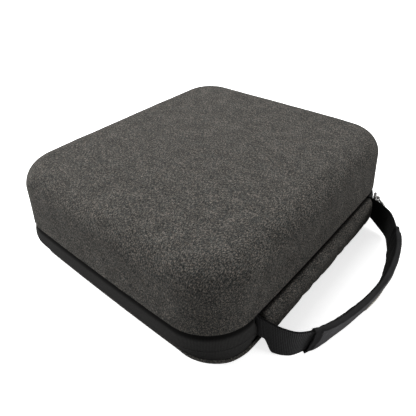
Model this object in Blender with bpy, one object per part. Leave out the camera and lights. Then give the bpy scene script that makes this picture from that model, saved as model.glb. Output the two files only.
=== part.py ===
"""Zippered carry case for a portable launch monitor, as separate pieces that open, swing and slide.

Metres, +Z up. +X points to the spine, where the lid hinges and the handle is sewn. Y runs along the spine.
The origin is on the ground under the middle of the moulded shell.
"""

import math

import bmesh
import bpy
from mathutils import Matrix, Vector

GAP = 0.0003  # between neighbouring pieces

# Moulded shell: plan and heights
HALF_X = 0.1115
HALF_Y = 0.125
CORNER_R = 0.036
WALL_BOW = 0.0015  # how far each straight wall bows out at its middle
HEIGHT = 0.0856
ZIP_Z = 0.0215  # where the two zip tapes meet
LID_RIM_Z = 0.0348
LID_DRAFT = 0.052  # inward lean of the lid's wall, per unit of height
LID_EDGE_R = 0.0185
BASE_RIM_Z = 0.0082
BASE_EDGE_W = 0.014  # the base's lower edge is a quarter ellipse this wide
BASE_EDGE_H = 0.006
BASE_LEAN = 0.27  # inward lean of the base's wall below the zip, per unit of height
LEAN_FROM, LEAN_FULL = math.radians(30), math.radians(90)  # it fades in as the wall turns away from the spine

# Layers, as depths inside the outer surface
FABRIC_T = 0.0010
TAPE_T = 0.0009
WALL_FOAM_T = 0.0034
FLOOR_FOAM_T = 0.0030
LINING_T = 0.0007
BINDING_T = 0.0008
TAPE_DEPTH = FABRIC_T + GAP
FOAM_DEPTH = TAPE_DEPTH + TAPE_T + GAP
LID_SHELL_RIM_Z = 0.0243
BASE_SHELL_RIM_Z = 0.0188
LID_BINDING_W = 0.009
BASE_BINDING_W = 0.006

# Zip
ZIP_PROUD = 0.0016  # the tapes belly out this far at the zip line
TAPE_END_Y = 0.088
TAPE_TUCK = 0.0045  # width of tape sewn behind the lid's fabric
TAPE_STEP = 0.0005  # a tape starts to belly out this far past the fabric's edge
COIL_H = 0.0020
COIL_DEPTH = TAPE_T - ZIP_PROUD + 2 * GAP
COIL_INNER_DEPTH = 0.0019

# Spine strip
STRIP_MIDDLE_Y = 0.002
STRIP_HALF_L = 0.0825
STRIP_END_R = 0.011
STRIP_LOW_Z = 0.0086
STRIP_HIGH_Z = 0.0344
STRIP_PROUD = 0.0075

# Interior
INSERT_TOP_Z = 0.046
INSERT_INSET = 0.0115  # of the insert's walls inside the case's outer surface
INSERT_SPINE_CLEAR = 0.015  # room for the lid's rim to swing in past the insert
BAY_FLOOR_Z = 0.013
BAY_LENGTH = 0.182
MONITOR_BAY = (-0.0915, 0.0205)
CABLE_BAY = (0.0305, 0.0865)
BAY_CORNER_R = 0.006
PAD_T = 0.003
ELASTIC_SPAN = (0.066, 0.076)
ELASTIC_LENGTH = 0.156
ELASTIC_T = 0.0012

# Handle
WEBBING_W = 0.032
WEBBING_T = 0.0018
WEBBING_LOW_Z = 0.0006
WEBBING_RISE = 0.0020  # the middle of the loop sits this much higher than its ends
SPLIT_R = 0.0225  # the sewn tails end this far from the swing axis, and the loop begins
TAIL_REACH_X = 0.142
# Each tail's bottom edge where it passes between the lid's and base's fabric, and the span of x it widens over
TAIL_NECK = {"handle_tail_near": (0.0088, 0.1160, 0.1240), "handle_tail_far": (0.0110, 0.1124, 0.1305)}
TAIL_TOP_Z = 0.0324
GRIP_OVERLAP = 0.0010  # the grip's edges stand past the webbing's edges
GRIP_WALL = 0.0007
GRIP_IN, GRIP_OUT = -0.0021, 0.0032  # its inner and outer faces, from the webbing's centre
GRIP_PAD_W = 0.027
PATCH_SPAN = (-0.012, 0.006)  # in y
PATCH_RISE = (-0.0130, -0.0020)  # from the webbing's centre line
PATCH_T = 0.0006
GRIP_NEAR_Y = -0.0685
GRIP_FAR_Y = 0.057
HANDLE_LOOP = (  # plan x and y, and how far the webbing's top leans out there, in radians
    (0.1104, -0.0826, 0.00), (0.1160, -0.0826, 0.03), (0.1300, -0.0796, 0.12), (0.1394, -0.0722, 0.23),
    (0.1487, -0.0512, 0.33), (0.1558, -0.0182, 0.31), (0.1580, 0.0105, 0.20), (0.1529, 0.0429, 0.08),
    (0.1401, 0.0704, -0.05), (0.1310, 0.0815, -0.15), (0.1172, 0.0864, -0.05), (0.1104, 0.0868, 0.00),
)

# Sliders
SLIDER_LENGTH = 0.009
SLIDER_WIDTH = 0.011
SLIDER_PLATE_T = 0.0022
CORNER_SLIDER_R = CORNER_R + ZIP_PROUD + 0.0010
CORNER_SLIDER_ANGLE = math.radians(20)
SIDE_SLIDER_X = 0.056
SIDE_SLIDER_Y = HALF_Y + ZIP_PROUD + WALL_BOW + 0.0004
PIN_OUT = 0.0034  # the puller's pin stands this far out from the slider's inner face
PULLER_REST = math.radians(25)  # out from the wall, leaning back the way the slider came

# Joint axes
LID_AXIS = (HALF_X + 0.004, 0.0, 0.036)
HANDLE_AXIS = (HALF_X + 0.0035, 0.0, WEBBING_LOW_Z + WEBBING_W / 2)

# Mesh fineness
CORNER_STEPS = 8
SIDE_STEPS = 4
EDGE_STEPS = 5
SPAN_STEPS = 6


def clear_scene():
    for thing in list(bpy.data.objects):
        bpy.data.objects.remove(thing, do_unlink=True)


def material(name, colour, roughness, metallic=0.0):
    made = bpy.data.materials.new(name)
    made.use_nodes = True
    shader = made.node_tree.nodes["Principled BSDF"]
    shader.inputs["Base Color"].default_value = (*colour, 1.0)
    shader.inputs["Roughness"].default_value = roughness
    shader.inputs["Metallic"].default_value = metallic
    made.diffuse_color = (*colour, 1.0)
    return made


def piece(name, points, faces, look, origin=(0.0, 0.0, 0.0)):
    """A named object from world points, with its own origin, its faces turned outwards."""
    shape = bmesh.new()
    corners = [shape.verts.new(Vector(p) - Vector(origin)) for p in points]
    for face in faces:
        shape.faces.new([corners[i] for i in face])
    bmesh.ops.recalc_face_normals(shape, faces=shape.faces)
    mesh = bpy.data.meshes.new(name)
    shape.to_mesh(mesh)
    shape.free()
    mesh.shade_smooth()
    mesh.set_sharp_from_angle(angle=math.radians(35))
    made = bpy.data.objects.new(name, mesh)
    made.location = origin
    made.data.materials.append(look)
    bpy.context.collection.objects.link(made)
    return made


def loft(name, rings, look, origin=(0.0, 0.0, 0.0)):
    """Rings of equal length joined side by side, with both end rings filled."""
    count = len(rings[0])
    points = [p for ring in rings for p in ring]
    faces = []
    for r in range(len(rings) - 1):
        for i in range(count):
            j = (i + 1) % count
            faces.append((r * count + i, r * count + j, (r + 1) * count + j, (r + 1) * count + i))
    faces.append(tuple(range(count)))
    faces.append(tuple(range(len(points) - count, len(points))))
    return piece(name, points, faces, look, origin)


def hang(axis_name, axis_point, pieces):
    """Parents pieces to an empty on their joint's axis, without moving them."""
    axis = bpy.data.objects.new(axis_name, None)
    axis.location = axis_point
    bpy.context.collection.objects.link(axis)
    for made in pieces:
        made.parent = axis
        made.matrix_parent_inverse = Matrix.Translation(axis_point).inverted()


def bowed(x, y):
    """A point of the plan pushed out by the bow of the straight walls, which fades to none at the corners."""
    return (
        x * (1 + WALL_BOW / HALF_X * (1 - (y / HALF_Y) ** 2)),
        y * (1 + WALL_BOW / HALF_Y * (1 - (x / HALF_X) ** 2)),
    )


def between(a, b, steps):
    return [a + (b - a) * i / steps for i in range(steps + 1)]


def stations():
    """Plan points with outward normals, and how many of them the zip passes.

    They run from the spine's far end round the case to its near end, then back along the spine.
    """
    arc_x, arc_y = HALF_X - CORNER_R, HALF_Y - CORNER_R
    centres = [(arc_x, arc_y), (-arc_x, arc_y), (-arc_x, -arc_y), (arc_x, -arc_y)]
    places = [(HALF_X, TAPE_END_Y, 0.0)]
    for quarter, (cx, cy) in enumerate(centres):
        for step in range(CORNER_STEPS + 1):
            turn = math.pi / 2 * (quarter + step / CORNER_STEPS)
            places.append((cx + CORNER_R * math.cos(turn), cy + CORNER_R * math.sin(turn), turn))
        if quarter < 3:
            x0, y0, turn = places[-1]
            nx, ny = centres[quarter + 1]
            x1, y1 = nx + CORNER_R * math.cos(turn), ny + CORNER_R * math.sin(turn)
            for share in between(0, 1, SIDE_STEPS)[1:-1]:
                places.append((x0 + (x1 - x0) * share, y0 + (y1 - y0) * share, turn))
    places.append((HALF_X, -TAPE_END_Y, 0.0))
    zip_count = len(places)
    for y in between(-TAPE_END_Y, TAPE_END_Y, SPAN_STEPS)[1:-1]:
        places.append((HALF_X, y, 0.0))
    return [(*bowed(x, y), math.cos(a), math.sin(a)) for x, y, a in places], zip_count


STATIONS, ZIP_COUNT = stations()


def at_station(station, inset, z):
    """A point in from the wall at a station. Below the zip the base leans in, except along the spine."""
    x, y, nx, ny = station
    turned = math.acos(max(-1.0, min(1.0, nx)))
    share = min(1.0, max(0.0, (turned - LEAN_FROM) / (LEAN_FULL - LEAN_FROM)))
    inset += BASE_LEAN * share * max(0.0, ZIP_Z - z)
    return (x - nx * inset, y - ny * inset, z)


def ring(inset, z):
    return [at_station(station, inset, z) for station in STATIONS]


def skin(name, outer, inner, look):
    """A thin open shell between two profiles of (inset, height) points, from the rim to the closed end."""
    rows = [ring(*row) for row in reversed(outer)] + [ring(*row) for row in inner]
    return loft(name, rows, look)


def band(name, section, look):
    """A closed section of (inset, height) points swept from one end of the zip to the other."""
    rows = [[at_station(station, inset, z) for inset, z in section] for station in STATIONS[:ZIP_COUNT]]
    return loft(name, rows, look)


def lid_profile(depth, rim_z):
    """From the rim up the leaning wall and over the rounded top edge."""
    crest_z = HEIGHT - LID_EDGE_R
    lean = LID_DRAFT * (crest_z - LID_RIM_Z)
    rows = [(depth, rim_z)]
    if rim_z < LID_RIM_Z:
        rows.append((depth, LID_RIM_Z))
    radius = LID_EDGE_R - depth
    for step in range(EDGE_STEPS + 1):
        turn = math.pi / 2 * step / EDGE_STEPS
        rows.append((lean + LID_EDGE_R - radius * math.cos(turn), crest_z + radius * math.sin(turn)))
    return rows


def base_profile(wall_depth, floor_depth, rim_z):
    """From the rim down the wall and round the elliptical lower edge."""
    bend_z = BASE_EDGE_H + floor_depth
    rows = [(wall_depth, rim_z)]
    for step in range(EDGE_STEPS + 1):
        turn = math.pi / 2 * step / EDGE_STEPS
        inset = wall_depth + BASE_EDGE_W * (1 - math.cos(turn))
        rows.append((inset, bend_z - BASE_EDGE_H * math.sin(turn)))
    return rows


def tape_section(sewn_z, sewn_depth, rim_z, free_z):
    """From the edge sewn behind the fabric, out to the free edge at the zip line, and back inside."""
    steps = 4
    outer = [(sewn_depth, sewn_z), (TAPE_DEPTH, rim_z)]
    for step in range(1, steps + 1):
        share = step / steps
        swell = (TAPE_DEPTH + ZIP_PROUD) * math.sin(math.pi / 2 * share)
        outer.append((TAPE_DEPTH - swell, rim_z + (free_z - rim_z) * share))
    return outer + [(depth + TAPE_T, z) for depth, z in reversed(outer)]


def box_section(depth_out, depth_in, low, high):
    return [(depth_out, low), (depth_out, high), (depth_in, high), (depth_in, low)]


def build_lid(looks):
    lining = FOAM_DEPTH + WALL_FOAM_T + GAP
    binding = lining + LINING_T + GAP
    fabric = skin(
        "lid_fabric", lid_profile(0, LID_RIM_Z), lid_profile(FABRIC_T, LID_RIM_Z), looks["heather"]
    )
    shell = skin(
        "lid_shell",
        lid_profile(FOAM_DEPTH, LID_SHELL_RIM_Z),
        lid_profile(FOAM_DEPTH + WALL_FOAM_T, LID_SHELL_RIM_Z),
        looks["foam"],
    )
    inside = skin(
        "lid_lining",
        lid_profile(lining, LID_SHELL_RIM_Z),
        lid_profile(lining + LINING_T, LID_SHELL_RIM_Z),
        looks["lining"],
    )
    edging = band(
        "lid_binding",
        box_section(binding, binding + BINDING_T, LID_SHELL_RIM_Z, LID_SHELL_RIM_Z + LID_BINDING_W),
        looks["webbing"],
    )
    sewn_z = LID_RIM_Z + TAPE_TUCK
    sewn_depth = TAPE_DEPTH + LID_DRAFT * TAPE_TUCK
    tape = band(
        "zip_tape_lid",
        tape_section(sewn_z, sewn_depth, LID_RIM_Z - TAPE_STEP, ZIP_Z + GAP / 2),
        looks["tape"],
    )
    low = ZIP_Z + GAP
    coil = band("zip_coil_lid", box_section(COIL_DEPTH, COIL_INNER_DEPTH, low, low + COIL_H), looks["coil"])
    pocket = build_lid_pocket(lining + LINING_T, looks)
    hang("lid_axis", LID_AXIS, [fabric, shell, inside, edging, tape, coil, *pocket])


def build_lid_pocket(ceiling_depth, looks):
    """A mesh pocket under the lid's ceiling, with an elastic edge towards the spine."""
    ceiling = HEIGHT - ceiling_depth - GAP
    sheet = 0.0008
    drop = 0.0045
    outer = [(0.0230, ceiling), (0.0250, ceiling - 0.6 * drop), (0.0310, ceiling - drop)]
    inner = [(inset + sheet, min(z + sheet, ceiling)) for inset, z in outer]
    sheet_piece = skin("lid_pocket", outer, inner, looks["mesh"])
    top = ceiling - drop - GAP
    edge = rounded_rectangle(ELASTIC_SPAN, ELASTIC_LENGTH, 0.002)
    elastic = prism("lid_pocket_elastic", edge, top - ELASTIC_T, top, looks["webbing"])
    return sheet_piece, elastic


def build_base(looks):
    fabric_out = base_profile(0, 0, BASE_RIM_Z)
    fabric_in = base_profile(FABRIC_T, FABRIC_T, BASE_RIM_Z)
    skin("base_fabric", fabric_out, fabric_in, looks["heather"])
    foam_floor = FABRIC_T + GAP
    skin(
        "base_shell",
        base_profile(FOAM_DEPTH, foam_floor, BASE_SHELL_RIM_Z),
        base_profile(FOAM_DEPTH + WALL_FOAM_T, foam_floor + FLOOR_FOAM_T, BASE_SHELL_RIM_Z),
        looks["foam"],
    )
    lining_wall = FOAM_DEPTH + WALL_FOAM_T + 2 * GAP
    lining_floor = foam_floor + FLOOR_FOAM_T + 2 * GAP
    skin(
        "base_lining",
        base_profile(lining_wall, lining_floor, BASE_SHELL_RIM_Z),
        base_profile(lining_wall + LINING_T, lining_floor + LINING_T, BASE_SHELL_RIM_Z),
        looks["lining"],
    )
    binding = lining_wall + LINING_T + GAP
    band(
        "base_binding",
        box_section(binding, binding + BINDING_T, BASE_SHELL_RIM_Z - BASE_BINDING_W, BASE_SHELL_RIM_Z),
        looks["webbing"],
    )
    sewn_z = BASE_RIM_Z - 0.0008
    band(
        "zip_tape_base",
        tape_section(sewn_z, TAPE_DEPTH, BASE_RIM_Z + TAPE_STEP, ZIP_Z - GAP / 2),
        looks["tape"],
    )
    high = ZIP_Z - GAP
    band("zip_coil_base", box_section(COIL_DEPTH, COIL_INNER_DEPTH, high - COIL_H, high), looks["coil"])


def wall_x(y):
    return bowed(HALF_X, y)[0]


def build_spine(looks):
    """The padded fabric strip over the hinge, and the flexible web behind it that the lid turns on."""
    middle_z = (STRIP_LOW_Z + STRIP_HIGH_Z) / 2
    half_h = (STRIP_HIGH_Z - STRIP_LOW_Z) / 2
    back = -0.0009
    face_steps = 8
    round_steps = 4
    inner_y = STRIP_HALF_L - STRIP_END_R
    along = [inner_y + STRIP_END_R * math.sin(math.pi / 2 * i / round_steps) for i in range(round_steps)]
    offsets = [-y for y in reversed(along + [STRIP_HALF_L])] + between(-inner_y, inner_y, SPAN_STEPS)[1:-1]
    offsets += along + [STRIP_HALF_L]
    rings = []
    for offset in offsets:
        past = max(0.0, abs(offset) - inner_y) / STRIP_END_R
        fullness = math.sqrt(max(0.0, 1 - past**2))
        tall = half_h * (0.60 + 0.40 * fullness)
        proud = (STRIP_PROUD - back) * (0.30 + 0.70 * fullness)
        y = STRIP_MIDDLE_Y + offset
        x = wall_x(y)
        section = [(x + back, y, middle_z - tall)]
        for v in between(-1, 1, face_steps)[1:-1]:
            swell = (1 - abs(v) ** 3.2) ** 0.5
            section.append((x + back + proud * swell, y, middle_z + tall * v))
        section.append((x + back, y, middle_z + tall))
        rings.append(section)
    loft("hinge_strip", rings, looks["heather"])

    web_out, web_in = TAPE_DEPTH, TAPE_DEPTH + 0.0008
    low, high = STRIP_LOW_Z + 0.0009, STRIP_HIGH_Z - 0.0009
    web = []
    for y in between(STRIP_MIDDLE_Y - STRIP_HALF_L, STRIP_MIDDLE_Y + STRIP_HALF_L, SPAN_STEPS):
        web.append([(wall_x(y) - depth, y, z) for depth, z in box_section(web_out, web_in, low, high)])
    loft("hinge_web", web, looks["webbing"])


def rounded_rectangle(x_range, length, radius, steps=4):
    """A plan outline from x to x and centred on y = 0."""
    x0, x1 = x_range
    half = length / 2
    corners = [(x1 - radius, half - radius), (x0 + radius, half - radius)]
    corners += [(x0 + radius, radius - half), (x1 - radius, radius - half)]
    outline = []
    for quarter, (cx, cy) in enumerate(corners):
        for step in range(steps + 1):
            turn = math.pi / 2 * (quarter + step / steps)
            outline.append((cx + radius * math.cos(turn), cy + radius * math.sin(turn)))
    return outline


def prism(name, outline, low, high, look):
    return loft(name, [[(x, y, z) for x, y in outline] for z in (low, high)], look)


def boolean(body, tool, operation):
    """Cuts or joins a hidden tool, which isn't a piece itself."""
    tool.hide_render = True
    tool.display_type = "WIRE"
    step = body.modifiers.new(tool.name, "BOOLEAN")
    step.object = tool
    step.operation = operation
    step.solver = "EXACT"


def build_interior(looks):
    """A foam sheet, and on it a die-cut foam insert with a bay for the monitor and one for its cables."""

    def level(inset, z):
        limit = HALF_X - INSERT_SPINE_CLEAR - (inset - INSERT_INSET)
        return [(min(x, limit), y, z) for x, y, z in ring(inset, z)]

    floor = [(0.0215, 0.0058), (0.0145, 0.0076), (INSERT_INSET, 0.0112), (INSERT_INSET, BAY_FLOOR_Z)]
    loft("insert_floor", [level(*row) for row in floor], looks["foam"])
    walls = [level(INSERT_INSET, BAY_FLOOR_Z + GAP), level(INSERT_INSET, INSERT_TOP_Z)]
    insert = loft("foam_insert", walls, looks["foam"])
    for name, span in (("monitor_bay_cutter", MONITOR_BAY), ("cable_bay_cutter", CABLE_BAY)):
        outline = rounded_rectangle(span, BAY_LENGTH, BAY_CORNER_R)
        boolean(insert, prism(name, outline, 0.0, HEIGHT, looks["foam"]), "DIFFERENCE")
    play = 2 * GAP
    outline = rounded_rectangle(
        (MONITOR_BAY[0] + play, MONITOR_BAY[1] - play), BAY_LENGTH - 2 * play, BAY_CORNER_R - play
    )
    prism("bay_pad", outline, BAY_FLOOR_Z + GAP, BAY_FLOOR_Z + GAP + PAD_T, looks["lining"])


def smooth_path(knots, steps):
    """Catmull-Rom points through the knots, with the end knots repeated."""
    ends = [knots[0], *knots, knots[-1]]
    path = []
    for i in range(1, len(ends) - 2):
        a, b, c, d = (Vector(p) for p in ends[i - 1 : i + 3])
        for share in between(0, 1, steps)[:-1]:
            t2, t3 = share**2, share**3
            bend = (2 * a - 5 * b + 4 * c - d) * t2 + (3 * b - a - 3 * c + d) * t3
            path.append(0.5 * (2 * b + (c - a) * share + bend))
    path.append(Vector(knots[-1]))
    return path


def handle_frames():
    """Places along the webbing's centre, each with its outward direction and its width direction."""
    path = smooth_path(HANDLE_LOOP, 6)
    frames = []
    for i, point in enumerate(path):
        ahead = (path[min(i + 1, len(path) - 1)] - path[max(i - 1, 0)]).xy.normalized()
        share = math.sin(math.pi * i / (len(path) - 1)) ** 2
        lean = point.z
        out = Vector((ahead.y, -ahead.x, 0.0))
        across = out * math.sin(lean) + Vector((0, 0, 1)) * math.cos(lean)
        away = out * math.cos(lean) - Vector((0, 0, 1)) * math.sin(lean)
        z = WEBBING_LOW_Z + WEBBING_W / 2 * math.cos(lean) + WEBBING_RISE * share
        frames.append((Vector((point.x, point.y, z)), away, across))
    return frames


def clipped(frames, value, limit, keep_below):
    """The run of frames on one side of a limit, with a frame placed exactly on it."""
    kept = []
    for i, frame in enumerate(frames):
        inside = (value(frame) <= limit) == keep_below
        if i:
            before = frames[i - 1]
            if ((value(before) <= limit) == keep_below) != inside:
                share = (limit - value(before)) / (value(frame) - value(before))
                kept.append(tuple(before[k].lerp(frame[k], share) for k in range(3)))
        if inside:
            kept.append(frame)
    return kept


def strap(name, frames, section, look, origin=(0.0, 0.0, 0.0)):
    """A section of (out, across) points swept along the frames."""
    rings = [[p + away * out + across * up for out, up in section] for p, away, across in frames]
    return loft(name, rings, look, origin=origin)


def flat_section(out_low, out_high, up_low, up_high):
    return [(out_low, up_low), (out_high, up_low), (out_high, up_high), (out_low, up_high)]


def sleeve(name, frames, outer, inner, look, origin):
    """A hollow sleeve along the frames, from two sections of as many points, open at both ends."""
    count = len(outer)
    points, faces = [], []
    for p, away, across in frames:
        points += [p + away * out + across * up for out, up in outer + inner]
    rings = len(frames)
    for side in (0, count):
        for r in range(rings - 1):
            for i in range(count):
                j = (i + 1) % count
                a, b = r * 2 * count + side, (r + 1) * 2 * count + side
                faces.append((a + i, a + j, b + j, b + i))
    for r in (0, rings - 1):
        a = r * 2 * count
        for i in range(count):
            j = (i + 1) % count
            faces.append((a + i, a + j, a + count + j, a + count + i))
    return piece(name, points, faces, look, origin)


def tail(name, frames, look):
    """The sewn end of the webbing, which narrows where it passes into the case beside the spine strip."""
    rings = []
    neck_z, narrow_x, full_x = TAIL_NECK[name]
    for p, away, across in frames:
        share = min(1.0, max(0.0, (p.x - narrow_x) / (full_x - narrow_x)))
        low, high = (z - WEBBING_LOW_Z - WEBBING_W / 2 for z in (neck_z, TAIL_TOP_Z))
        low += (-WEBBING_W / 2 - low) * share
        high += (WEBBING_W / 2 - high) * share
        section = flat_section(-WEBBING_T / 2, WEBBING_T / 2, low, high)
        rings.append([p + away * out + across * up for out, up in section])
    return loft(name, rings, look)


def swing_drum(name, radius, looks):
    """A cylinder about the handle's swing axis, which splits the webbing into tails and loop."""
    x, _, z = HANDLE_AXIS
    steps = 72
    rim = [(x + radius * math.cos(a), z + radius * math.sin(a)) for a in between(0, 2 * math.pi, steps)[:-1]]
    return loft(name, [[(u, y, v) for u, v in rim] for y in (-HALF_Y, HALF_Y)], looks["webbing"])


def build_handle(looks):
    """Sewn tails on the spine, and the loop with its padded grip, which swings about its stitching."""
    frames = handle_frames()
    middle = len(frames) // 2

    def across_x(frame):
        return frame[0].x

    def along_y(frame):
        return frame[0].y

    for name, half in (("handle_tail_near", frames[:middle]), ("handle_tail_far", frames[middle:])):
        made = tail(name, clipped(half, across_x, TAIL_REACH_X, True), looks["webbing"])
        boolean(made, swing_drum(name + "_drum", SPLIT_R, looks), "INTERSECT")
    webbing = flat_section(-WEBBING_T / 2, WEBBING_T / 2, -WEBBING_W / 2, WEBBING_W / 2)
    loop = strap("handle_webbing", frames, webbing, looks["webbing"], HANDLE_AXIS)
    boolean(loop, swing_drum("handle_webbing_drum", SPLIT_R + GAP, looks), "DIFFERENCE")

    held = clipped(clipped(frames, along_y, GRIP_NEAR_Y, False), along_y, GRIP_FAR_Y, True)
    chamfer = 0.0012
    out_low, out_high, up = GRIP_IN, GRIP_OUT, WEBBING_W / 2 + GRIP_OVERLAP
    outer = [
        (out_low + chamfer, -up), (out_high - chamfer, -up),
        (out_high, chamfer - up), (out_high, up - chamfer),
        (out_high - chamfer, up), (out_low + chamfer, up),
        (out_low, up - chamfer), (out_low, chamfer - up),
    ]
    wall = GRIP_WALL
    inner = [
        (out_low + chamfer, wall - up), (out_high - chamfer, wall - up),
        (out_high - wall, chamfer - up), (out_high - wall, up - chamfer),
        (out_high - chamfer, up - wall), (out_low + chamfer, up - wall),
        (out_low + wall, up - chamfer), (out_low + wall, chamfer - up),
    ]
    sleeve("handle_grip", held, outer, inner, looks["grip"], HANDLE_AXIS)
    short = 0.003
    padded = clipped(clipped(frames, along_y, GRIP_NEAR_Y + short, False), along_y, GRIP_FAR_Y - short, True)
    pad = flat_section(WEBBING_T / 2 + GAP, out_high - wall - GAP, -GRIP_PAD_W / 2, GRIP_PAD_W / 2)
    strap("grip_pad", padded, pad, looks["foam"], HANDLE_AXIS)
    patched = clipped(clipped(frames, along_y, PATCH_SPAN[0], False), along_y, PATCH_SPAN[1], True)
    patch = flat_section(out_high + GAP, out_high + GAP + PATCH_T, *PATCH_RISE)
    strap("grip_patch", patched, patch, looks["patch"], HANDLE_AXIS)


def placed(made, place):
    """Moves a piece modelled at the origin to where it sits."""
    made.matrix_world = place


def wall_place(x, y, turn):
    """A frame on the zip: local X out from the wall, local Y along the zip, Z up."""
    return Matrix.Translation((x, y, ZIP_Z)) @ Matrix.Rotation(turn, 4, "Z")


def build_slider(name, place, looks):
    """The slider's outer plate, with the bridge that the puller hangs from."""
    half_l, half_w = SLIDER_LENGTH / 2, SLIDER_WIDTH / 2
    nose = 0.0022
    tail = nose / 2
    plan = [
        (-half_l, tail - half_w), (tail - half_l, -half_w), (half_l - nose, -half_w), (half_l, nose - half_w),
        (half_l, half_w - nose), (half_l - nose, half_w), (tail - half_l, half_w), (-half_l, half_w - tail),
    ]
    edge = 0.0005
    rings = []
    for out, shrink in ((0, edge), (edge, 0), (SLIDER_PLATE_T - edge, 0), (SLIDER_PLATE_T, edge)):
        scale_l, scale_w = 1 - shrink / half_l, 1 - shrink / half_w
        rings.append([(out, y * scale_l, z * scale_w) for y, z in plan])
    plate = loft(name, rings, looks["metal"])
    foot, span, crown, bar = SLIDER_PLATE_T - 0.0004, 0.0038, 0.0058, 0.0011
    arch = [
        (foot, -span), (crown - 0.0012, -span), (crown, -span + 0.0012), (crown, span - 0.0012),
        (crown - 0.0012, span), (foot, span), (foot, span - bar), (crown - bar, span - bar),
        (crown - bar, bar - span), (foot, bar - span),
    ]
    bridge_half_w = 0.0011
    sides = [[(x, y, z) for x, y in arch] for z in (-bridge_half_w, bridge_half_w)]
    bridge = loft(name + "_bridge", sides, looks["metal"])
    placed(plate, place)
    placed(bridge, place)
    boolean(plate, bridge, "UNION")
    return plate, bridge


def build_puller(name, place, looks):
    """A flat metal tab, with a window where it hangs on the bridge. Its origin is on its pin."""
    half_t = 0.0006
    pin = 0.0006
    tab = [
        (-pin, -0.0028), (0.0075, -0.0028), (0.0100, -0.0034), (0.0145, -0.0034), (0.0160, -0.0020),
        (0.0160, 0.0020), (0.0145, 0.0034), (0.0100, 0.0034), (0.0075, 0.0028), (-pin, 0.0028),
    ]
    window = [(pin, -0.0016), (0.0065, -0.0016), (0.0065, 0.0016), (pin, 0.0016)]
    made = loft(name, [[(u, t, z) for u, z in tab] for t in (-half_t, half_t)], looks["metal"])
    through = [[(u, t, z) for u, z in window] for t in (-2 * half_t, 2 * half_t)]
    cut = loft(name + "_window", through, looks["metal"])
    turn = Matrix.Rotation(PULLER_REST - math.pi / 2, 4, "Z")
    pose = place @ Matrix.Translation((PIN_OUT, 0, 0)) @ turn
    placed(made, pose)
    placed(cut, pose)
    boolean(made, cut, "DIFFERENCE")


def build_sliders(looks):
    turn = CORNER_SLIDER_ANGLE
    corner_x, corner_y = HALF_X - CORNER_R, HALF_Y - CORNER_R
    corner = wall_place(
        corner_x + CORNER_SLIDER_R * math.cos(turn), corner_y + CORNER_SLIDER_R * math.sin(turn), turn
    )
    running = build_slider("corner_slider", corner, looks)
    hang("corner_axis", (corner_x, corner_y, ZIP_Z), running)
    build_puller("corner_puller", corner, looks)
    side = wall_place(SIDE_SLIDER_X, SIDE_SLIDER_Y, math.pi / 2)
    build_slider("side_slider", side, looks)
    build_puller("side_puller", side, looks)


def main():
    clear_scene()
    looks = {
        "heather": material("heather_fabric", (0.055, 0.053, 0.050), 0.92),
        "foam": material("moulded_foam", (0.020, 0.020, 0.021), 0.85),
        "lining": material("brushed_lining", (0.030, 0.030, 0.032), 0.95),
        "mesh": material("pocket_mesh", (0.018, 0.018, 0.019), 0.80),
        "tape": material("zip_tape", (0.016, 0.016, 0.017), 0.60),
        "coil": material("zip_coil", (0.012, 0.012, 0.012), 0.35),
        "webbing": material("black_webbing", (0.012, 0.012, 0.013), 0.70),
        "grip": material("grip_cloth", (0.022, 0.021, 0.023), 0.50),
        "patch": material("plain_patch", (0.62, 0.58, 0.48), 0.75),
        "metal": material("zip_metal", (0.42, 0.42, 0.40), 0.32, 1.0),
    }
    build_lid(looks)
    build_base(looks)
    build_spine(looks)
    build_interior(looks)
    build_handle(looks)
    build_sliders(looks)


main()
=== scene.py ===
"""Looks of the launch monitor's carry case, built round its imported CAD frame.

Metres, with +Z up and +X towards the spine.
"""

import math

import bmesh
import bpy
import numpy as np
from mathutils import Matrix, Vector, noise


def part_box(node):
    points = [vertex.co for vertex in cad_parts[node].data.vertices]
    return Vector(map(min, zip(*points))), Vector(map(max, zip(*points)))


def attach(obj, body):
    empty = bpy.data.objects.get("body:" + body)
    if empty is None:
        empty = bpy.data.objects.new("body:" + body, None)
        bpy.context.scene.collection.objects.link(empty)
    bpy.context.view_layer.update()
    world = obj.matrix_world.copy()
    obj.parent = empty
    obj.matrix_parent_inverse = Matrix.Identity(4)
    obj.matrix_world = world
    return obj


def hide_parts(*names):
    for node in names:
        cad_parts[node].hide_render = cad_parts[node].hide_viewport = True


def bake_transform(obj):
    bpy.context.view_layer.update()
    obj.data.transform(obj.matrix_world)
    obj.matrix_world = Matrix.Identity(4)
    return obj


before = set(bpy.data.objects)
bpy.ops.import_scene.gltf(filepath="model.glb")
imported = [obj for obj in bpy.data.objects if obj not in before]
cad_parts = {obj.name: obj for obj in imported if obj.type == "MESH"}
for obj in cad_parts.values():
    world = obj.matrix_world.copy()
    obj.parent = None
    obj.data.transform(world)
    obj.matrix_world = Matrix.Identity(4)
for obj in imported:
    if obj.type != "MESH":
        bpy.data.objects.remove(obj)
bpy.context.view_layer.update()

GAP = 0.0003
UP = Vector((0.0, 0.0, 1.0))

# The case's plan and heights, as in the CAD
WALL_BOW = 0.0015
HALF_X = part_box("lid_fabric")[1].x - WALL_BOW
HALF_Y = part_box("lid_fabric")[1].y - WALL_BOW
CORNER_R = 0.036
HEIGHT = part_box("lid_fabric")[1].z
LID_RIM_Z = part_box("lid_fabric")[0].z
BASE_RIM_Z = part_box("base_fabric")[1].z
ZIP_Z = (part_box("zip_tape_lid")[0].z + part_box("zip_tape_base")[1].z) / 2
LID_DRAFT = 0.052
LID_EDGE_R = 0.0185
BASE_EDGE_W = 0.014
BASE_EDGE_H = 0.006
BASE_LEAN = 0.27
LEAN_FROM, LEAN_FULL = math.radians(30), math.radians(90)

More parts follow.
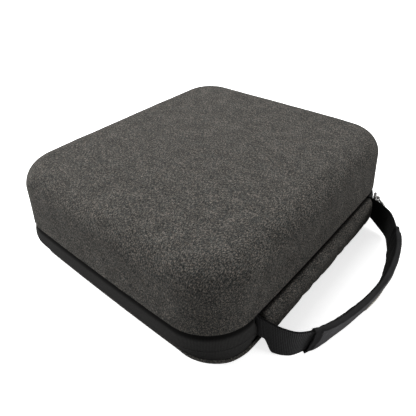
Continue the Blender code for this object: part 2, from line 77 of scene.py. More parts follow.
# Layers, as depths inside the outer surface
FABRIC_T = 0.0010
TAPE_T = 0.0009
WALL_FOAM_T = 0.0034
FLOOR_FOAM_T = 0.0030
LINING_T = 0.0007
TAPE_DEPTH = FABRIC_T + GAP
FOAM_DEPTH = TAPE_DEPTH + TAPE_T + GAP
LINING_DEPTH = FOAM_DEPTH + WALL_FOAM_T + GAP
BASE_LINING_DEPTH = LINING_DEPTH + GAP
LINING_FLOOR = FABRIC_T + FLOOR_FOAM_T + 3 * GAP
LID_SHELL_RIM_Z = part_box("lid_shell")[0].z
BASE_SHELL_RIM_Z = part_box("base_shell")[1].z
ZIP_PROUD = 0.0016
TAPE_END_Y = 0.088
TAPE_TUCK = 0.0045

# Spine strip
STRIP_LOW, STRIP_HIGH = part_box("hinge_strip")
STRIP_MIDDLE_Y = (STRIP_LOW.y + STRIP_HIGH.y) / 2
STRIP_HALF_L = (STRIP_HIGH.y - STRIP_LOW.y) / 2
STRIP_END_R = 0.0065
STRIP_PROUD = 0.0065
STRIP_TUCK = 0.0022  # its edges are sewn down this far

# Interior
INSERT_TOP_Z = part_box("foam_insert")[1].z
BAY_FLOOR_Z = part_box("insert_floor")[1].z
INSERT_INSET = 0.0115
INSERT_SPINE_CLEAR = 0.015
BAY_LENGTH = 0.182
MONITOR_BAY = (-0.0915, 0.0205)
CABLE_BAY = (0.0305, 0.0865)
BAY_CORNER_R = 0.006
PAD_PROFILE = (  # shares of its half width and of its thickness, from the middle below to the middle above
    (0.30, 0.0), (0.60, 0.0), (0.85, 0.0), (0.96, 0.02), (0.99, 0.10), (1.0, 0.28), (0.992, 0.46),
    (0.975, 0.58), (0.95, 0.70), (0.90, 0.84), (0.80, 0.95), (0.60, 1.0), (0.30, 1.0),
)
NET_INSET = 0.0262

# Handle
WEBBING_W = 0.032
WEBBING_T = 0.0018
WEBBING_LOW_Z = 0.0006
WEBBING_RISE = 0.0020
NECKS = ((0.0130, 0.1168, 0.1230), (0.0125, 0.1124, 0.1350))  # near, far: low z, and the x it widens over
NECK_TOP_Z = 0.0324
GRIP_NEAR_Y = -0.0685
GRIP_FAR_Y = 0.057
GRIP_OUT = (-0.0021, 0.0032)
GRIP_WALL = 0.0007
GRIP_HEM = 0.0045  # how far in from its ends the sleeve is sewn
GRIP_UP = WEBBING_W / 2 + 0.0010
PATCH_SPAN = (-0.012, 0.006)
PATCH_RISE = (-0.0130, -0.0020)
PATCH_T = 0.0006
# The loop's centre in plan, and how far the webbing's top leans out there, in radians. Most of these points
# are the output of a program that fitted the handle to the photo: an open fault.
HANDLE_LOOP = (
    (0.1104, -0.0826, 0.00), (0.1160, -0.0826, 0.03), (0.1300, -0.0796, 0.12), (0.1394, -0.0722, 0.23),
    (0.1487, -0.0512, 0.33), (0.1558, -0.0182, 0.31), (0.1580, 0.0105, 0.20), (0.1529, 0.0429, 0.08),
    (0.1401, 0.0704, -0.05), (0.1310, 0.0815, -0.15), (0.1172, 0.0864, -0.05), (0.1104, 0.0868, 0.00),
)

# Sliders
CORNER_SLIDER_R = CORNER_R + ZIP_PROUD + 0.0010
CORNER_SLIDER_ANGLE = math.radians(20)
SIDE_SLIDER = (0.056, HALF_Y + ZIP_PROUD + WALL_BOW + 0.0004)
PIN_OUT = 0.0034
PULLER_REST = math.radians(25)


def between(a, b, steps):
    return [a + (b - a) * i / steps for i in range(steps + 1)]


def turns(count):
    """Angles spaced evenly round a full turn."""
    return between(0, 2 * math.pi, count)[:-1]


def clamped(share):
    return min(1.0, max(0.0, share))


def eased(value, power):
    """A power that keeps the value's sign. Below 1 it squares off a sine or a cosine."""
    return math.copysign(abs(value) ** power, value)


def soft_box(count, half_a, half_b, power_a, power_b):
    """A closed section between an oval and a box, as offsets along its two directions."""
    angles = turns(count)
    return [(half_a * eased(math.cos(t), power_a), half_b * eased(math.sin(t), power_b)) for t in angles]


# ---------------------------------------------------------------- materials

class Look:
    """A material being built from nodes. An input given a socket is linked, and one given a value is set."""

    def __init__(self, name):
        self.material = bpy.data.materials.new(name)
        self.material.use_nodes = True
        self.tree = self.material.node_tree
        self.shader = self.tree.nodes["Principled BSDF"]

    def set(self, node, inputs):
        for key, value in inputs.items():
            socket = node.inputs[key]
            if isinstance(value, bpy.types.NodeSocket):
                self.tree.links.new(value, socket)
            else:
                socket.default_value = value

    def node(self, kind, inputs=None, **settings):
        made = self.tree.nodes.new("ShaderNode" + kind)
        for key, value in settings.items():
            setattr(made, key, value)
        self.set(made, inputs or {})
        return made

    def math(self, operation, a, b=0.0):
        return self.node("Math", {0: a, 1: b}, operation=operation).outputs[0]

    def share(self, a, of_a, b, of_b):
        """Two values added in the given shares."""
        return self.math("ADD", self.math("MULTIPLY", a, of_a), self.math("MULTIPLY", b, of_b))

    def times(self, color, factor):
        return self.node("VectorMath", {0: color, 1: factor}, operation="MULTIPLY").outputs[0]

    def part(self, where, axis):
        return self.node("SeparateXYZ", {0: where}).outputs[axis]

    def fade(self, value, start, end, low, high, **settings):
        """A value from low to high while another one goes from start to end."""
        inputs = {"Value": value, "From Min": start, "From Max": end, "To Min": low, "To Max": high}
        return self.node("MapRange", inputs, **settings).outputs[0]

    def mapped(self, space="Object", scale=(1.0, 1.0, 1.0), turn=0.0):
        source = self.node("TexCoord").outputs[space]
        turned = self.node("Mapping", {"Vector": source, "Rotation": (0, 0, turn)}).outputs[0]
        return self.node("Mapping", {"Vector": turned, "Scale": scale}).outputs[0]

    def noise(self, where, scale=1.0, detail=2.0, rough=0.5):
        inputs = {"Vector": where, "Scale": scale, "Detail": detail, "Roughness": rough}
        return self.node("TexNoise", inputs).outputs["Fac"]

    def ramp(self, value, stops):
        made = self.node("ValToRGB", {"Fac": value})
        band = made.color_ramp
        while len(band.elements) < len(stops):
            band.elements.new(0.5)
        for element, (place, colour) in zip(band.elements, stops):
            element.position = place
            element.color = (*colour, 1.0)
        return made.outputs["Color"]

    def grey(self, value, stops, tint=(1.0, 1.0, 1.0)):
        return self.ramp(value, [(place, tuple(level * t for t in tint)) for place, level in stops])

    def waves(self, where, axis):
        """A sine from 0 to 1 along one axis of a space scaled to one wave per unit."""
        swing = self.math("SINE", self.math("MULTIPLY", self.part(where, axis), 2 * math.pi))
        return self.math("ADD", self.math("MULTIPLY", swing, 0.5), 0.5)

    def bump(self, height, depth):
        return self.node("Bump", {"Height": height, "Distance": depth, "Strength": 1.0}).outputs[0]

    def finish(self, **inputs):
        names = {
            "color": "Base Color", "rough": "Roughness", "metal": "Metallic", "normal": "Normal",
            "sheen": "Sheen Weight", "sheen_rough": "Sheen Roughness", "spec": "Specular IOR Level",
            "sheen_tint": "Sheen Tint",
        }
        self.set(self.shader, {names[key]: value for key, value in inputs.items()})
        return self.material


def heather_look(name):
    """Melange fabric: light and dark yarns mixed at about a millimetre, in a fine diagonal weave."""
    look = Look(name)
    fleck = look.noise(look.mapped(), 1150.0, 2.0, 0.7)
    yarn = look.noise(look.mapped("UV", (1.0 / 0.0006, 1.0 / 0.0020, 1.0)), 1.0, 1.0, 0.5)
    soft = look.noise(look.mapped(), 95.0, 2.0, 0.5)
    mix = look.math("ADD", look.share(fleck, 0.56, yarn, 0.34), look.math("MULTIPLY", soft, 0.10))
    tones = [(0.35, 0.010), (0.44, 0.024), (0.51, 0.050), (0.57, 0.096), (0.66, 0.18)]
    color = look.grey(mix, tones, (1.03, 1.005, 0.935))
    hue = look.noise(look.mapped(), 1150.0, 1.0, 0.5)
    warm = look.fade(hue, 0.35, 0.65, 0.0, 1.0)
    dyes = {0: warm, 6: (0.93, 1.02, 1.06, 1.0), 7: (1.09, 0.98, 0.92, 1.0)}
    dye = look.node("Mix", dyes, data_type="RGBA")
    color = look.times(color, dye.outputs[2])
    weave_space = look.mapped("UV", (1.0 / 0.0007, 1.0 / 0.0007, 1.0), math.radians(45))
    weave = look.math("MULTIPLY", look.waves(weave_space, 0), look.waves(weave_space, 1))
    normal = look.bump(look.share(weave, 0.5, fleck, 0.9), 0.00022)
    return look.finish(
        color=color, rough=0.95, normal=normal, sheen=0.04, sheen_rough=0.5, spec=0.06,
        sheen_tint=(0.9, 0.88, 0.84, 1.0),
    )


def woven_look(
    name, dark, light, pitch, ridge, rough, sheen,
    tint=(1.0, 1.0, 1.02), slip=0.5, painted_rim_shade=None, face=None, spec=0.18,
):
    """A narrow woven tape or webbing: ribs across its width, yarns along its length.

    painted_rim_shade is two heights: painted shade under the lid's rim, darkest at the first and full tone at
    the second.
    face is the width of its outer side round the section, past which its inner side gets painted shade.
    """
    look = Look(name)
    space = look.mapped("UV", (1.0 / pitch, 1.0 / (pitch * slip), 1.0))
    ribs = look.waves(space, 0)
    yarns = look.waves(space, 1)
    weave = look.math("MULTIPLY", ribs, look.math("ADD", look.math("MULTIPLY", yarns, 0.6), 0.4))
    fuzz = look.noise(look.mapped(), 900.0, 2.0, 0.6)
    color = look.grey(look.share(weave, 0.6, fuzz, 0.4), [(0.12, dark), (0.75, light)], tint)
    # Painted shade under the lid's rim: the tape gets darker towards the rim.
    if painted_rim_shade:
        height = look.part(look.mapped(), 2)
        color = look.times(color, look.fade(height, *painted_rim_shade, 0.18, 1.0, interpolation_type="SMOOTHSTEP"))
    # Painted shade: past the outer face, round the section, the inner side is darkened.
    if face:
        round_it = look.part(look.mapped("UV"), 1)
        color = look.times(color, look.fade(round_it, face - 0.001, face, 1.0, 0.12))
    height = look.math("ADD", weave, look.math("MULTIPLY", fuzz, 0.35))
    normal = look.bump(height, ridge)
    return look.finish(color=color, rough=rough, normal=normal, sheen=sheen, sheen_rough=0.4, spec=spec)


def satin_look(name, dark, light, panel, shade):
    """Close satin cloth with a fine twill, as on a wrapped grip.

    Its sewn-on panel, up to a distance round the section from its middle, gets a painted satin sheen,
    and its inner side gets painted shade.
    """
    look = Look(name)
    space = look.mapped("UV", (1.0 / 0.0006, 1.0 / 0.0006, 1.0), math.radians(30))
    twill = look.waves(space, 0)
    soft = look.noise(look.mapped(), 160.0, 3.0, 0.5)
    color = look.grey(look.share(twill, 0.35, soft, 0.65), [(0.25, dark), (0.75, light)], (1.0, 0.99, 1.03))
    from_end, from_middle = (look.part(look.mapped("UV"), axis) for axis in range(2))
    # Painted satin sheen on the panel away from the hems, then painted shade on the inner side.
    lit = look.fade(from_end, GRIP_HEM + 0.0003, GRIP_HEM + 0.0008, 1.0, 5.0)
    for edge, width, inside, outside in ((panel, 0.0005, lit, 1.0), (shade, 0.0015, 1.0, 0.05)):
        color = look.times(color, look.fade(from_middle, edge, edge + width, inside, outside))
    normal = look.bump(look.math("ADD", look.math("MULTIPLY", twill, 0.4), soft), 0.00012)
    return look.finish(color=color, rough=0.75, normal=normal, sheen=0.012, sheen_rough=0.4, spec=0.12)


def foam_look(name, level):
    """Closed-cell foam with fine pores and a faint skin."""
    look = Look(name)
    place = look.mapped()
    cells = look.node("TexVoronoi", {"Vector": place, "Scale": 1100.0}).outputs["Distance"]
    cloud = look.noise(place, 130.0, 4.0, 0.6)
    mix = look.math("ADD", look.math("MULTIPLY", cells, 0.5), cloud)
    color = look.grey(mix, [(0.4, level * 0.6), (1.0, level * 1.5)])
    normal = look.bump(look.math("ADD", cells, look.math("MULTIPLY", cloud, 0.5)), 0.00015)
    return look.finish(color=color, rough=0.86, normal=normal, spec=0.25, sheen=0.1, sheen_rough=0.6)


def brushed_look(name, level):
    """Brushed lining with a short nap that lies in soft patches."""
    look = Look(name)
    place = look.mapped()
    nap = look.noise(place, 60.0, 4.0, 0.65)
    fibre = look.noise(place, 1500.0, 2.0, 0.7)
    mix = look.share(nap, 0.6, fibre, 0.4)
    color = look.grey(mix, [(0.32, level * 0.6), (0.68, level * 1.5)], (1.0, 1.0, 1.03))
    normal = look.bump(fibre, 0.00020)
    return look.finish(color=color, rough=0.97, normal=normal, sheen=0.6, sheen_rough=0.5, spec=0.1)


def thread_look(name, level):
    look = Look(name)
    space = look.mapped()
    twist = look.noise(space, 2500.0, 1.0, 0.5)
    color = look.grey(twist, [(0.3, level * 0.6), (0.7, level * 1.4)])
    return look.finish(color=color, rough=0.6, sheen=0.3, normal=look.bump(twist, 0.00005))


def nylon_look(name):
    look = Look(name)
    grain = look.noise(look.mapped(), 1400.0, 2.0, 0.6)
    color = look.grey(grain, [(0.3, 0.008), (0.7, 0.018)])
    return look.finish(color=color, rough=0.38, normal=look.bump(grain, 0.00003), spec=0.5)


def metal_look(name):
    """Plated zinc: fine brushing, dulled and scuffed unevenly."""
    look = Look(name)
    place = look.mapped()
    scuff = look.noise(place, 420.0, 5.0, 0.7)
    brush = look.noise(look.mapped("Object", (300.0, 4000.0, 300.0)), 1.0, 2.0, 0.5)
    color = look.grey(scuff, [(0.3, 0.22), (0.7, 0.55)], (1.0, 0.98, 0.95))
    rough = look.node("MapRange", {"Value": scuff, "To Min": 0.22, "To Max": 0.48}).outputs[0]
    return look.finish(color=color, rough=rough, metal=1.0, normal=look.bump(brush, 0.00002))


def label_look(name):
    """Plain off-white woven patch."""
    look = Look(name)
    space = look.mapped("UV", (1.0 / 0.0006, 1.0 / 0.0005, 1.0))
    weave = look.math("MULTIPLY", look.waves(space, 0), look.waves(space, 1))
    stain = look.noise(look.mapped(), 220.0, 3.0, 0.6)
    tones = [(0.25, (0.42, 0.39, 0.31)), (0.7, (0.72, 0.68, 0.57))]
    color = look.ramp(look.share(weave, 0.3, stain, 0.7), tones)
    return look.finish(color=color, rough=0.8, normal=look.bump(weave, 0.0001), sheen=0.2)


def floor_look():
    look = Look("studio_floor")
    grain = look.noise(look.mapped(), 40.0, 3.0, 0.5)
    color = look.grey(grain, [(0.3, 0.34), (0.7, 0.37)])
    material = look.finish(color=color, rough=0.95, spec=0.0)
    seen = look.node("LightPath").outputs["Is Camera Ray"]
    pale = look.node("BsdfDiffuse", {"Color": (0.9, 0.9, 0.9, 1.0)})
    glow = look.node("Emission", {"Color": (1.0, 1.0, 1.0, 1.0), "Strength": 0.72})
    shown = look.node("AddShader", {0: pale.outputs[0], 1: glow.outputs[0]})
    mixed = look.node("MixShader", {0: seen, 1: look.shader.outputs[0], 2: shown.outputs[0]})
    look.tree.links.new(mixed.outputs[0], look.tree.nodes["Material Output"].inputs["Surface"])
    return material


TAPE_WEAVE = {
    "pitch": 0.0009, "ridge": 0.00012, "rough": 0.85, "sheen": 0.0, "tint": (1.02, 1.0, 0.98), "spec": 0.04,
}
LOOKS = {
    "heather": heather_look("heather_fabric_look"),
    "tape": woven_look("zip_tape_look", dark=0.018, light=0.043, **TAPE_WEAVE),
    # The lid's copy of the tape carries painted shade under the lid's rim.
    "lid_tape": woven_look(
        "lid_zip_tape_look", dark=0.017, light=0.041, painted_rim_shade=(0.0316, 0.0284), **TAPE_WEAVE,
    ),
    # The webbing's inner side gets painted shade.
    "webbing": woven_look(
        "black_webbing_look", dark=0.007, light=0.070, pitch=0.0011, ridge=0.00024, rough=0.75, sheen=0.02,
        slip=1.6, face=WEBBING_W,
    ),
    "grosgrain": woven_look(
        "grosgrain_look", dark=0.006, light=0.020, pitch=0.0008, ridge=0.00012, rough=0.7, sheen=0.04,
    ),
    # The grip's outer panel gets a painted sheen, and its inner side gets painted shade.
    "grip": satin_look("grip_cloth_look", 0.009, 0.019, GRIP_UP - 0.0017, GRIP_UP + 0.0025),
    "foam": foam_look("moulded_foam_look", 0.020),
    "insert": foam_look("insert_foam_look", 0.028),
    "lining": brushed_look("brushed_lining_look", 0.034),
    "mesh": nylon_look("pocket_mesh_look"),
    "coil": nylon_look("zip_coil_look"),
    "thread": thread_look("dark_thread_look", 0.035),
    "metal": metal_look("zip_metal_look"),
    "patch": label_look("plain_patch_look"),
}


# ---------------------------------------------------------------- mesh helpers

def linked(name, data):
    """A new object in the scene."""
    made = bpy.data.objects.new(name, data)
    bpy.context.scene.collection.objects.link(made)
    return made


def smooth(mesh, sharp=50.0):
    """Smooth shading, except at edges that turn by more than an angle in degrees."""
    mesh.shade_smooth()
    mesh.set_sharp_from_angle(angle=math.radians(sharp))


def quads(a, b, size):
    """Faces that join two rings of points, each given by its first index."""
    return [(a + i, a + (i + 1) % size, b + (i + 1) % size, b + i) for i in range(size)]


def ring_uvs(along, around, r):
    """UVs for the faces that join ring r to the next, as distances along and round them."""
    near, far = along[r], along[r + 1]
    return [uv for a, b in zip(around, around[1:]) for uv in ((near, a), (near, b), (far, b), (far, a))]


def mesh_piece(name, points, faces, look, uvs=None, sharp=50.0):
    """A smooth named object from points in the frame, with its faces turned outwards."""
    mesh = bpy.data.meshes.new(name)
    mesh.from_pydata([tuple(map(float, p)) for p in points], [], faces)
    if uvs is not None:
        layer = mesh.uv_layers.new(name="UVMap")
        layer.data.foreach_set("uv", np.asarray(uvs, np.float32).ravel())
    shape = bmesh.new()
    shape.from_mesh(mesh)
    bmesh.ops.recalc_face_normals(shape, faces=shape.faces)
    shape.to_mesh(mesh)
    shape.free()
    smooth(mesh, sharp)
    mesh.materials.append(LOOKS[look])
    return linked(name, mesh)


def lengths(points, closed):
    """Distance along a run of points, with the closing step last if it is closed."""
    points = np.asarray(points, float)
    ring = np.vstack([points, points[:1]]) if closed else points
    return np.concatenate([[0.0], np.cumsum(np.linalg.norm(np.diff(ring, axis=0), axis=1))])


def sweep(name, sections, look, closed=False, sharp=50.0, swap=False):
    """Closed sections joined side by side. Its UVs are metres along and round it, or round and along."""
    stack = np.asarray(sections, float)
    count, size = stack.shape[:2]
    along = lengths(stack.mean(axis=1), closed)
    around = lengths(stack[count // 2], True)
    faces, uvs = [], []
    for r in range(count if closed else count - 1):
        faces += quads(r * size, (r + 1) % count * size, size)
        uvs += ring_uvs(along, around, r)
    if not closed:
        for r in (0, count - 1):
            faces.append(tuple(range(r * size, (r + 1) * size)))
            uvs += [(along[r], around[i]) for i in range(size)]
    if swap:
        uvs = [(v, u) for u, v in uvs]
    return mesh_piece(name, stack.reshape(-1, 3), faces, look, uvs, sharp)


def finished(made, body=None, replaces=(), blend=None):
    """Hides the CAD nodes a piece stands for, and puts it under its body, or bakes it in place if blend is
    given.
    """
    if replaces:
        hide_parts(*replaces)
    if blend:
        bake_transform(made)
    else:
        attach(made, body)
    return made


def apply_modifiers(made):
    """Replaces a piece's mesh with what its modifiers make of it."""
    graph = bpy.context.evaluated_depsgraph_get()
    mesh = bpy.data.meshes.new_from_object(made.evaluated_get(graph), depsgraph=graph)
    made.modifiers.clear()
    made.data = mesh
    return made


def settle(made, sewn, grow, cap, pressure=4.0):
    """Fills out a padded piece's cloth between its seams, and lets its slack pucker.

    sewn is the indices of the vertices that stay put, grow how much wider the cloth is cut, and cap how far
    any of it may move.
    """
    steps = 20
    group = made.vertex_groups.new(name="sewn")
    group.add(sewn, 1.0, "REPLACE")
    step = made.modifiers.new("filled", "CLOTH")
    cloth = step.settings
    cloth.quality = 6
    cloth.mass = 0.1
    cloth.tension_stiffness = cloth.compression_stiffness = 12.0
    cloth.shear_stiffness, cloth.bending_stiffness = 6.0, 0.4
    cloth.use_pressure, cloth.uniform_pressure_force = True, pressure
    cloth.shrink_min = -grow
    cloth.vertex_group_mass = "sewn"
    cloth.effector_weights.gravity = 0.0
    step.collision_settings.use_collision = False
    step.point_cache.frame_start, step.point_cache.frame_end = 1, steps
    for moment in range(1, steps + 1):
        bpy.context.scene.frame_set(moment)
    graph = bpy.context.evaluated_depsgraph_get()
    filled = made.evaluated_get(graph).to_mesh()
    count = len(made.data.vertices)
    before, after = np.empty(count * 3), np.empty(count * 3)
    made.data.vertices.foreach_get("co", before)
    filled.vertices.foreach_get("co", after)
    made.evaluated_get(graph).to_mesh_clear()
    moved = (after - before).reshape(-1, 3)
    far = np.linalg.norm(moved, axis=1)[:, None]
    moved *= cap * np.tanh(far / cap) / np.maximum(far, 1e-9)
    made.modifiers.clear()
    made.vertex_groups.clear()
    made.data.vertices.foreach_set("co", before + moved.ravel())
    made.data.update()
    bpy.context.scene.frame_set(1)


def stitches(name, places, length, radius, look="thread"):
    """Small sewn stitches, one at each (point, direction, normal)."""
    rings = [(-1.0, 0.25), (-0.75, 0.8), (0.0, 1.0), (0.75, 0.8), (1.0, 0.25)]
    sides = 6
    local = np.array([
        (t * length / 2, r * radius * math.cos(a), r * radius * math.sin(a))
        for t, r in rings for a in turns(sides)
    ])
    faces = []
    for r in range(len(rings) - 1):
        faces += quads(r * sides, (r + 1) * sides, sides)
    faces.append(tuple(range(sides)))
    faces.append(tuple(range(len(local) - sides, len(local))))
    points, all_faces = [], []
    for n, (p, direction, normal) in enumerate(places):
        t = Vector(direction).normalized()
        out = Vector(normal).normalized()
        side = t.cross(out)
        basis = np.array([t, side, out])
        points.append(local @ basis + np.array(p))
        all_faces += [tuple(v + n * len(local) for v in face) for face in faces]
    return mesh_piece(name, np.concatenate(points), all_faces, look, None, 80.0)


# ---------------------------------------------------------------- plan of the case

def bowed(x, y):
    return (
        x * (1 + WALL_BOW / HALF_X * (1 - (y / HALF_Y) ** 2)),
        y * (1 + WALL_BOW / HALF_Y * (1 - (x / HALF_X) ** 2)),
    )


def stations(corner_steps, side_step):
    """Plan points and normals from the spine's far end round to its near end, then back along the spine."""
    arc_x, arc_y = HALF_X - CORNER_R, HALF_Y - CORNER_R
    centres = [(arc_x, arc_y), (-arc_x, arc_y), (-arc_x, -arc_y), (arc_x, -arc_y)]
    places = [(HALF_X, TAPE_END_Y, 0.0)]
    for quarter, (cx, cy) in enumerate(centres):
        for step in range(corner_steps + 1):
            turn = math.pi / 2 * (quarter + step / corner_steps)
            places.append((cx + CORNER_R * math.cos(turn), cy + CORNER_R * math.sin(turn), turn))
        if quarter < 3:
            x0, y0, turn = places[-1]
            nx, ny = centres[quarter + 1]
            x1, y1 = nx + CORNER_R * math.cos(turn), ny + CORNER_R * math.sin(turn)
            steps = round(math.hypot(x1 - x0, y1 - y0) / side_step)
            for share in between(0, 1, steps)[1:-1]:
                places.append((x0 + (x1 - x0) * share, y0 + (y1 - y0) * share, turn))
    places.append((HALF_X, -TAPE_END_Y, 0.0))
    zip_count = len(places)
    steps = round(2 * TAPE_END_Y / side_step)
    places += [(HALF_X, y, 0.0) for y in between(-TAPE_END_Y, TAPE_END_Y, steps)[1:-1]]
    spots = np.array([bowed(x, y) for x, y, _ in places])
    normals = np.array([(math.cos(a), math.sin(a)) for _, _, a in places])
    return spots, normals, zip_count


SPOTS, NORMALS, ZIP_COUNT = stations(16, 0.0045)


def leaned(spots, normals, inset, z):
    """Insets at each station. Below the zip the base leans in, except along the spine."""
    turned = np.arccos(np.clip(normals[:, 0], -1.0, 1.0))
    share = np.clip((turned - LEAN_FROM) / (LEAN_FULL - LEAN_FROM), 0.0, 1.0) * (spots[:, 0] < HALF_X - 0.004)
    return inset + BASE_LEAN * share * max(0.0, ZIP_Z - z)


def ring(inset, z, spots=SPOTS, normals=NORMALS):
    flat = spots - normals * leaned(spots, normals, inset, z)[:, None]
    return np.column_stack([flat, np.full(len(flat), z)])


def lid_rows(depth, rim_z, wall_steps=10, edge_steps=12):
    """From the rim up the leaning wall and over the rounded top edge, as (inset, height)."""
    crest_z = HEIGHT - LID_EDGE_R
    lean = LID_DRAFT * (crest_z - LID_RIM_Z)
    rows = [(depth, rim_z)] if rim_z < LID_RIM_Z - GAP else []
    for share in between(0, 1, wall_steps)[:-1]:
        z = max(rim_z, LID_RIM_Z) + (crest_z - max(rim_z, LID_RIM_Z)) * share
        rows.append((depth + LID_DRAFT * (z - LID_RIM_Z), z))
    radius = LID_EDGE_R - depth
    for turn in between(0, math.pi / 2, edge_steps):
        rows.append((lean + LID_EDGE_R - radius * math.cos(turn), crest_z + radius * math.sin(turn)))
    return rows


def base_rows(wall_depth, floor_depth, rim_z, edge_steps=10):
    """From the rim down the wall and round the elliptical lower edge."""
    bend_z = BASE_EDGE_H + floor_depth
    rows = [(wall_depth, z) for z in between(rim_z, bend_z, 3)[:-1]]
    for turn in between(0, math.pi / 2, edge_steps):
        inset = wall_depth + BASE_EDGE_W * (1 - math.cos(turn))
        rows.append((inset, bend_z - BASE_EDGE_H * math.sin(turn)))
    return rows


SPOKE_SHARES = (0.95, 0.88, 0.8, 0.7, 0.6, 0.5, 0.4, 0.3, 0.2, 0.1)


def vessel(name, outer, inner, look, up, waver=0.0):
    """A thin closed shell from its outer rows, given from the rim to the closed end, and its inner rows.

    up is 1 if the closed end is at the top. Its UVs are the cloth laid flat, in metres.
    """
    rows = [ring(*row) for row in reversed(outer)] + [ring(*row) for row in inner]
    profile = list(reversed(outer)) + list(inner)
    directions = []
    for i in range(len(profile)):
        a, b = profile[max(i - 1, 0)], profile[min(i + 1, len(profile) - 1)]
        along = Vector((b[0] - a[0], b[1] - a[1])).normalized()
        directions.append((abs(along.y), abs(along.x) * up))
    first, last = rows[0], rows[-1]
    spokes_out = [first * (share, share, 1) for share in reversed(SPOKE_SHARES)]
    spokes_in = [last * (share, share, 1) for share in SPOKE_SHARES]
    stack = np.array(spokes_out + rows + spokes_in)
    lift = [(0.0, up)] * len(spokes_out) + directions + [(0.0, up)] * len(spokes_in)
    if waver:
        for r, (side, top) in enumerate(lift):
            for c in range(stack.shape[1]):
                p = Vector(stack[r, c])
                swell = waver * (noise.noise(p * 22.0) + 0.5 * noise.noise(p * 60.0 + UP))
                stack[r, c, :2] += NORMALS[c] * side * swell
                stack[r, c, 2] += top * swell
    count, size = stack.shape[:2]
    down = lengths(np.array([(-inset, z) for inset, z in profile]), False)
    rim = len(outer)
    past = [min(d, 2 * down[rim] - d) if d < 2 * down[rim] else 0.0 for d in down]
    reach = [0.0] * len(spokes_out) + past + [0.0] * len(spokes_in)
    base_plan = spokes_out + [first] * len(rows) + spokes_in
    chart = np.array([plan[:, :2] + NORMALS * far for plan, far in zip(base_plan, reach)])
    faces, uvs = [], []
    steps = [(c, (c + 1) % size) for c in range(size)]
    for r in range(count - 1):
        faces += quads(r * size, (r + 1) * size, size)
        uvs += [tuple(chart[k]) for c, d in steps for k in ((r, c), (r, d), (r + 1, d), (r + 1, c))]
    points = list(stack.reshape(-1, 3))
    for r in (0, count - 1):
        hub = len(points)
        points.append((0.0, 0.0, stack[r, :, 2].mean()))
        for c, d in steps:
            faces.append((hub, r * size + c, r * size + d))
            uvs += [(0.0, 0.0), tuple(chart[r, c]), tuple(chart[r, d])]
    return mesh_piece(name, points, faces, look, uvs)


def band(name, section, look, spots=None, normals=None):
    """A closed section of (inset, height) points swept from one end of the zip to the other."""
    spots = SPOTS[:ZIP_COUNT] if spots is None else spots
    normals = NORMALS[:ZIP_COUNT] if normals is None else normals
    rings = [ring(inset, z, spots, normals) for inset, z in section]
    return sweep(name, np.stack(rings, axis=1), look)


def along_zip(inset, z, pitch, start=0.0):
    """Evenly spaced (point, direction, normal) along the zip."""
    normals = NORMALS[:ZIP_COUNT]
    flat = ring(inset, z, SPOTS[:ZIP_COUNT], normals)[:, :2]
    run = lengths(flat, False)
    places = []
    for distance in np.arange(start + pitch / 2, run[-1] - pitch / 2, pitch):
        x, y = (np.interp(distance, run, flat[:, k]) for k in range(2))
        nx, ny = (np.interp(distance, run, normals[:, k]) for k in range(2))
        places.append(((x, y, z), (-ny, nx, 0.0), (nx, ny, 0.0)))
    return places


# ---------------------------------------------------------------- moulded shell and its layers

WAVER = 0.00028


def rim_rolled(rows, step):
    """Turns the cut edge of a fabric skin in on itself. step is +1 if the skin rises from its rim."""
    z = rows[0][1]
    turned = [(0.00085, 0.0), (0.00035, 0.00012), (0.00008, 0.0005), (0.0, 0.0012)]
    return [(inset, z + step * rise) for inset, rise in turned] + rows[1:]


def build_covers():
    lid, base = ([rows(*depths) for depths in halves] for rows, halves in (
        (lid_rows, ((0.0, LID_RIM_Z), (FABRIC_T, LID_RIM_Z))),
        (base_rows, ((0.0, 0.0, BASE_RIM_Z), (FABRIC_T, FABRIC_T, BASE_RIM_Z))),
    ))
    parts = (("lid", 1, LID_RIM_Z, WAVER, *lid), ("base", -1, BASE_RIM_Z, 0.0, *base))
    for side, up, rim, waver, outer, inner in parts:
        inner[0] = (FABRIC_T, rim + up * 0.0002)
        cover = vessel(side + "_cover", rim_rolled(outer, up), inner, "heather", up, waver)
        finished(cover, side, [side + "_fabric"])


def build_shells():
    """The moulded foam and the lining of each half, from their outer rows and their inner rows."""
    inner_depth = FOAM_DEPTH + WALL_FOAM_T
    floor = FABRIC_T + GAP
    parts = (
        ("lid_foam", "moulded_foam", "lid_shell", (FOAM_DEPTH,), (inner_depth,)),
        ("lid_liner", "lining", "lid_lining", (LINING_DEPTH,), (LINING_DEPTH + LINING_T,)),
        ("base_foam", "moulded_foam", "base_shell", (FOAM_DEPTH, floor), (inner_depth, floor + FLOOR_FOAM_T)),
        (
            "base_liner", "lining", "base_lining",
            (BASE_LINING_DEPTH, LINING_FLOOR), (BASE_LINING_DEPTH + LINING_T, LINING_FLOOR + LINING_T),
        ),
    )
    for name, slot, node, *depths in parts:
        side = node.split("_")[0]
        look = "foam" if slot == "moulded_foam" else slot
        if side == "lid":
            outer, inner = (lid_rows(*depth, LID_SHELL_RIM_Z) for depth in depths)
            made = vessel(name, outer, inner, look, 1, WAVER)
        else:
            outer, inner = (base_rows(*depth, BASE_SHELL_RIM_Z) for depth in depths)
            made = vessel(name, outer, inner, look, -1)
        finished(made, side, [node])


def binding_face(up):
    return (LINING_DEPTH if up > 0 else BASE_LINING_DEPTH) + LINING_T + GAP + 0.0008


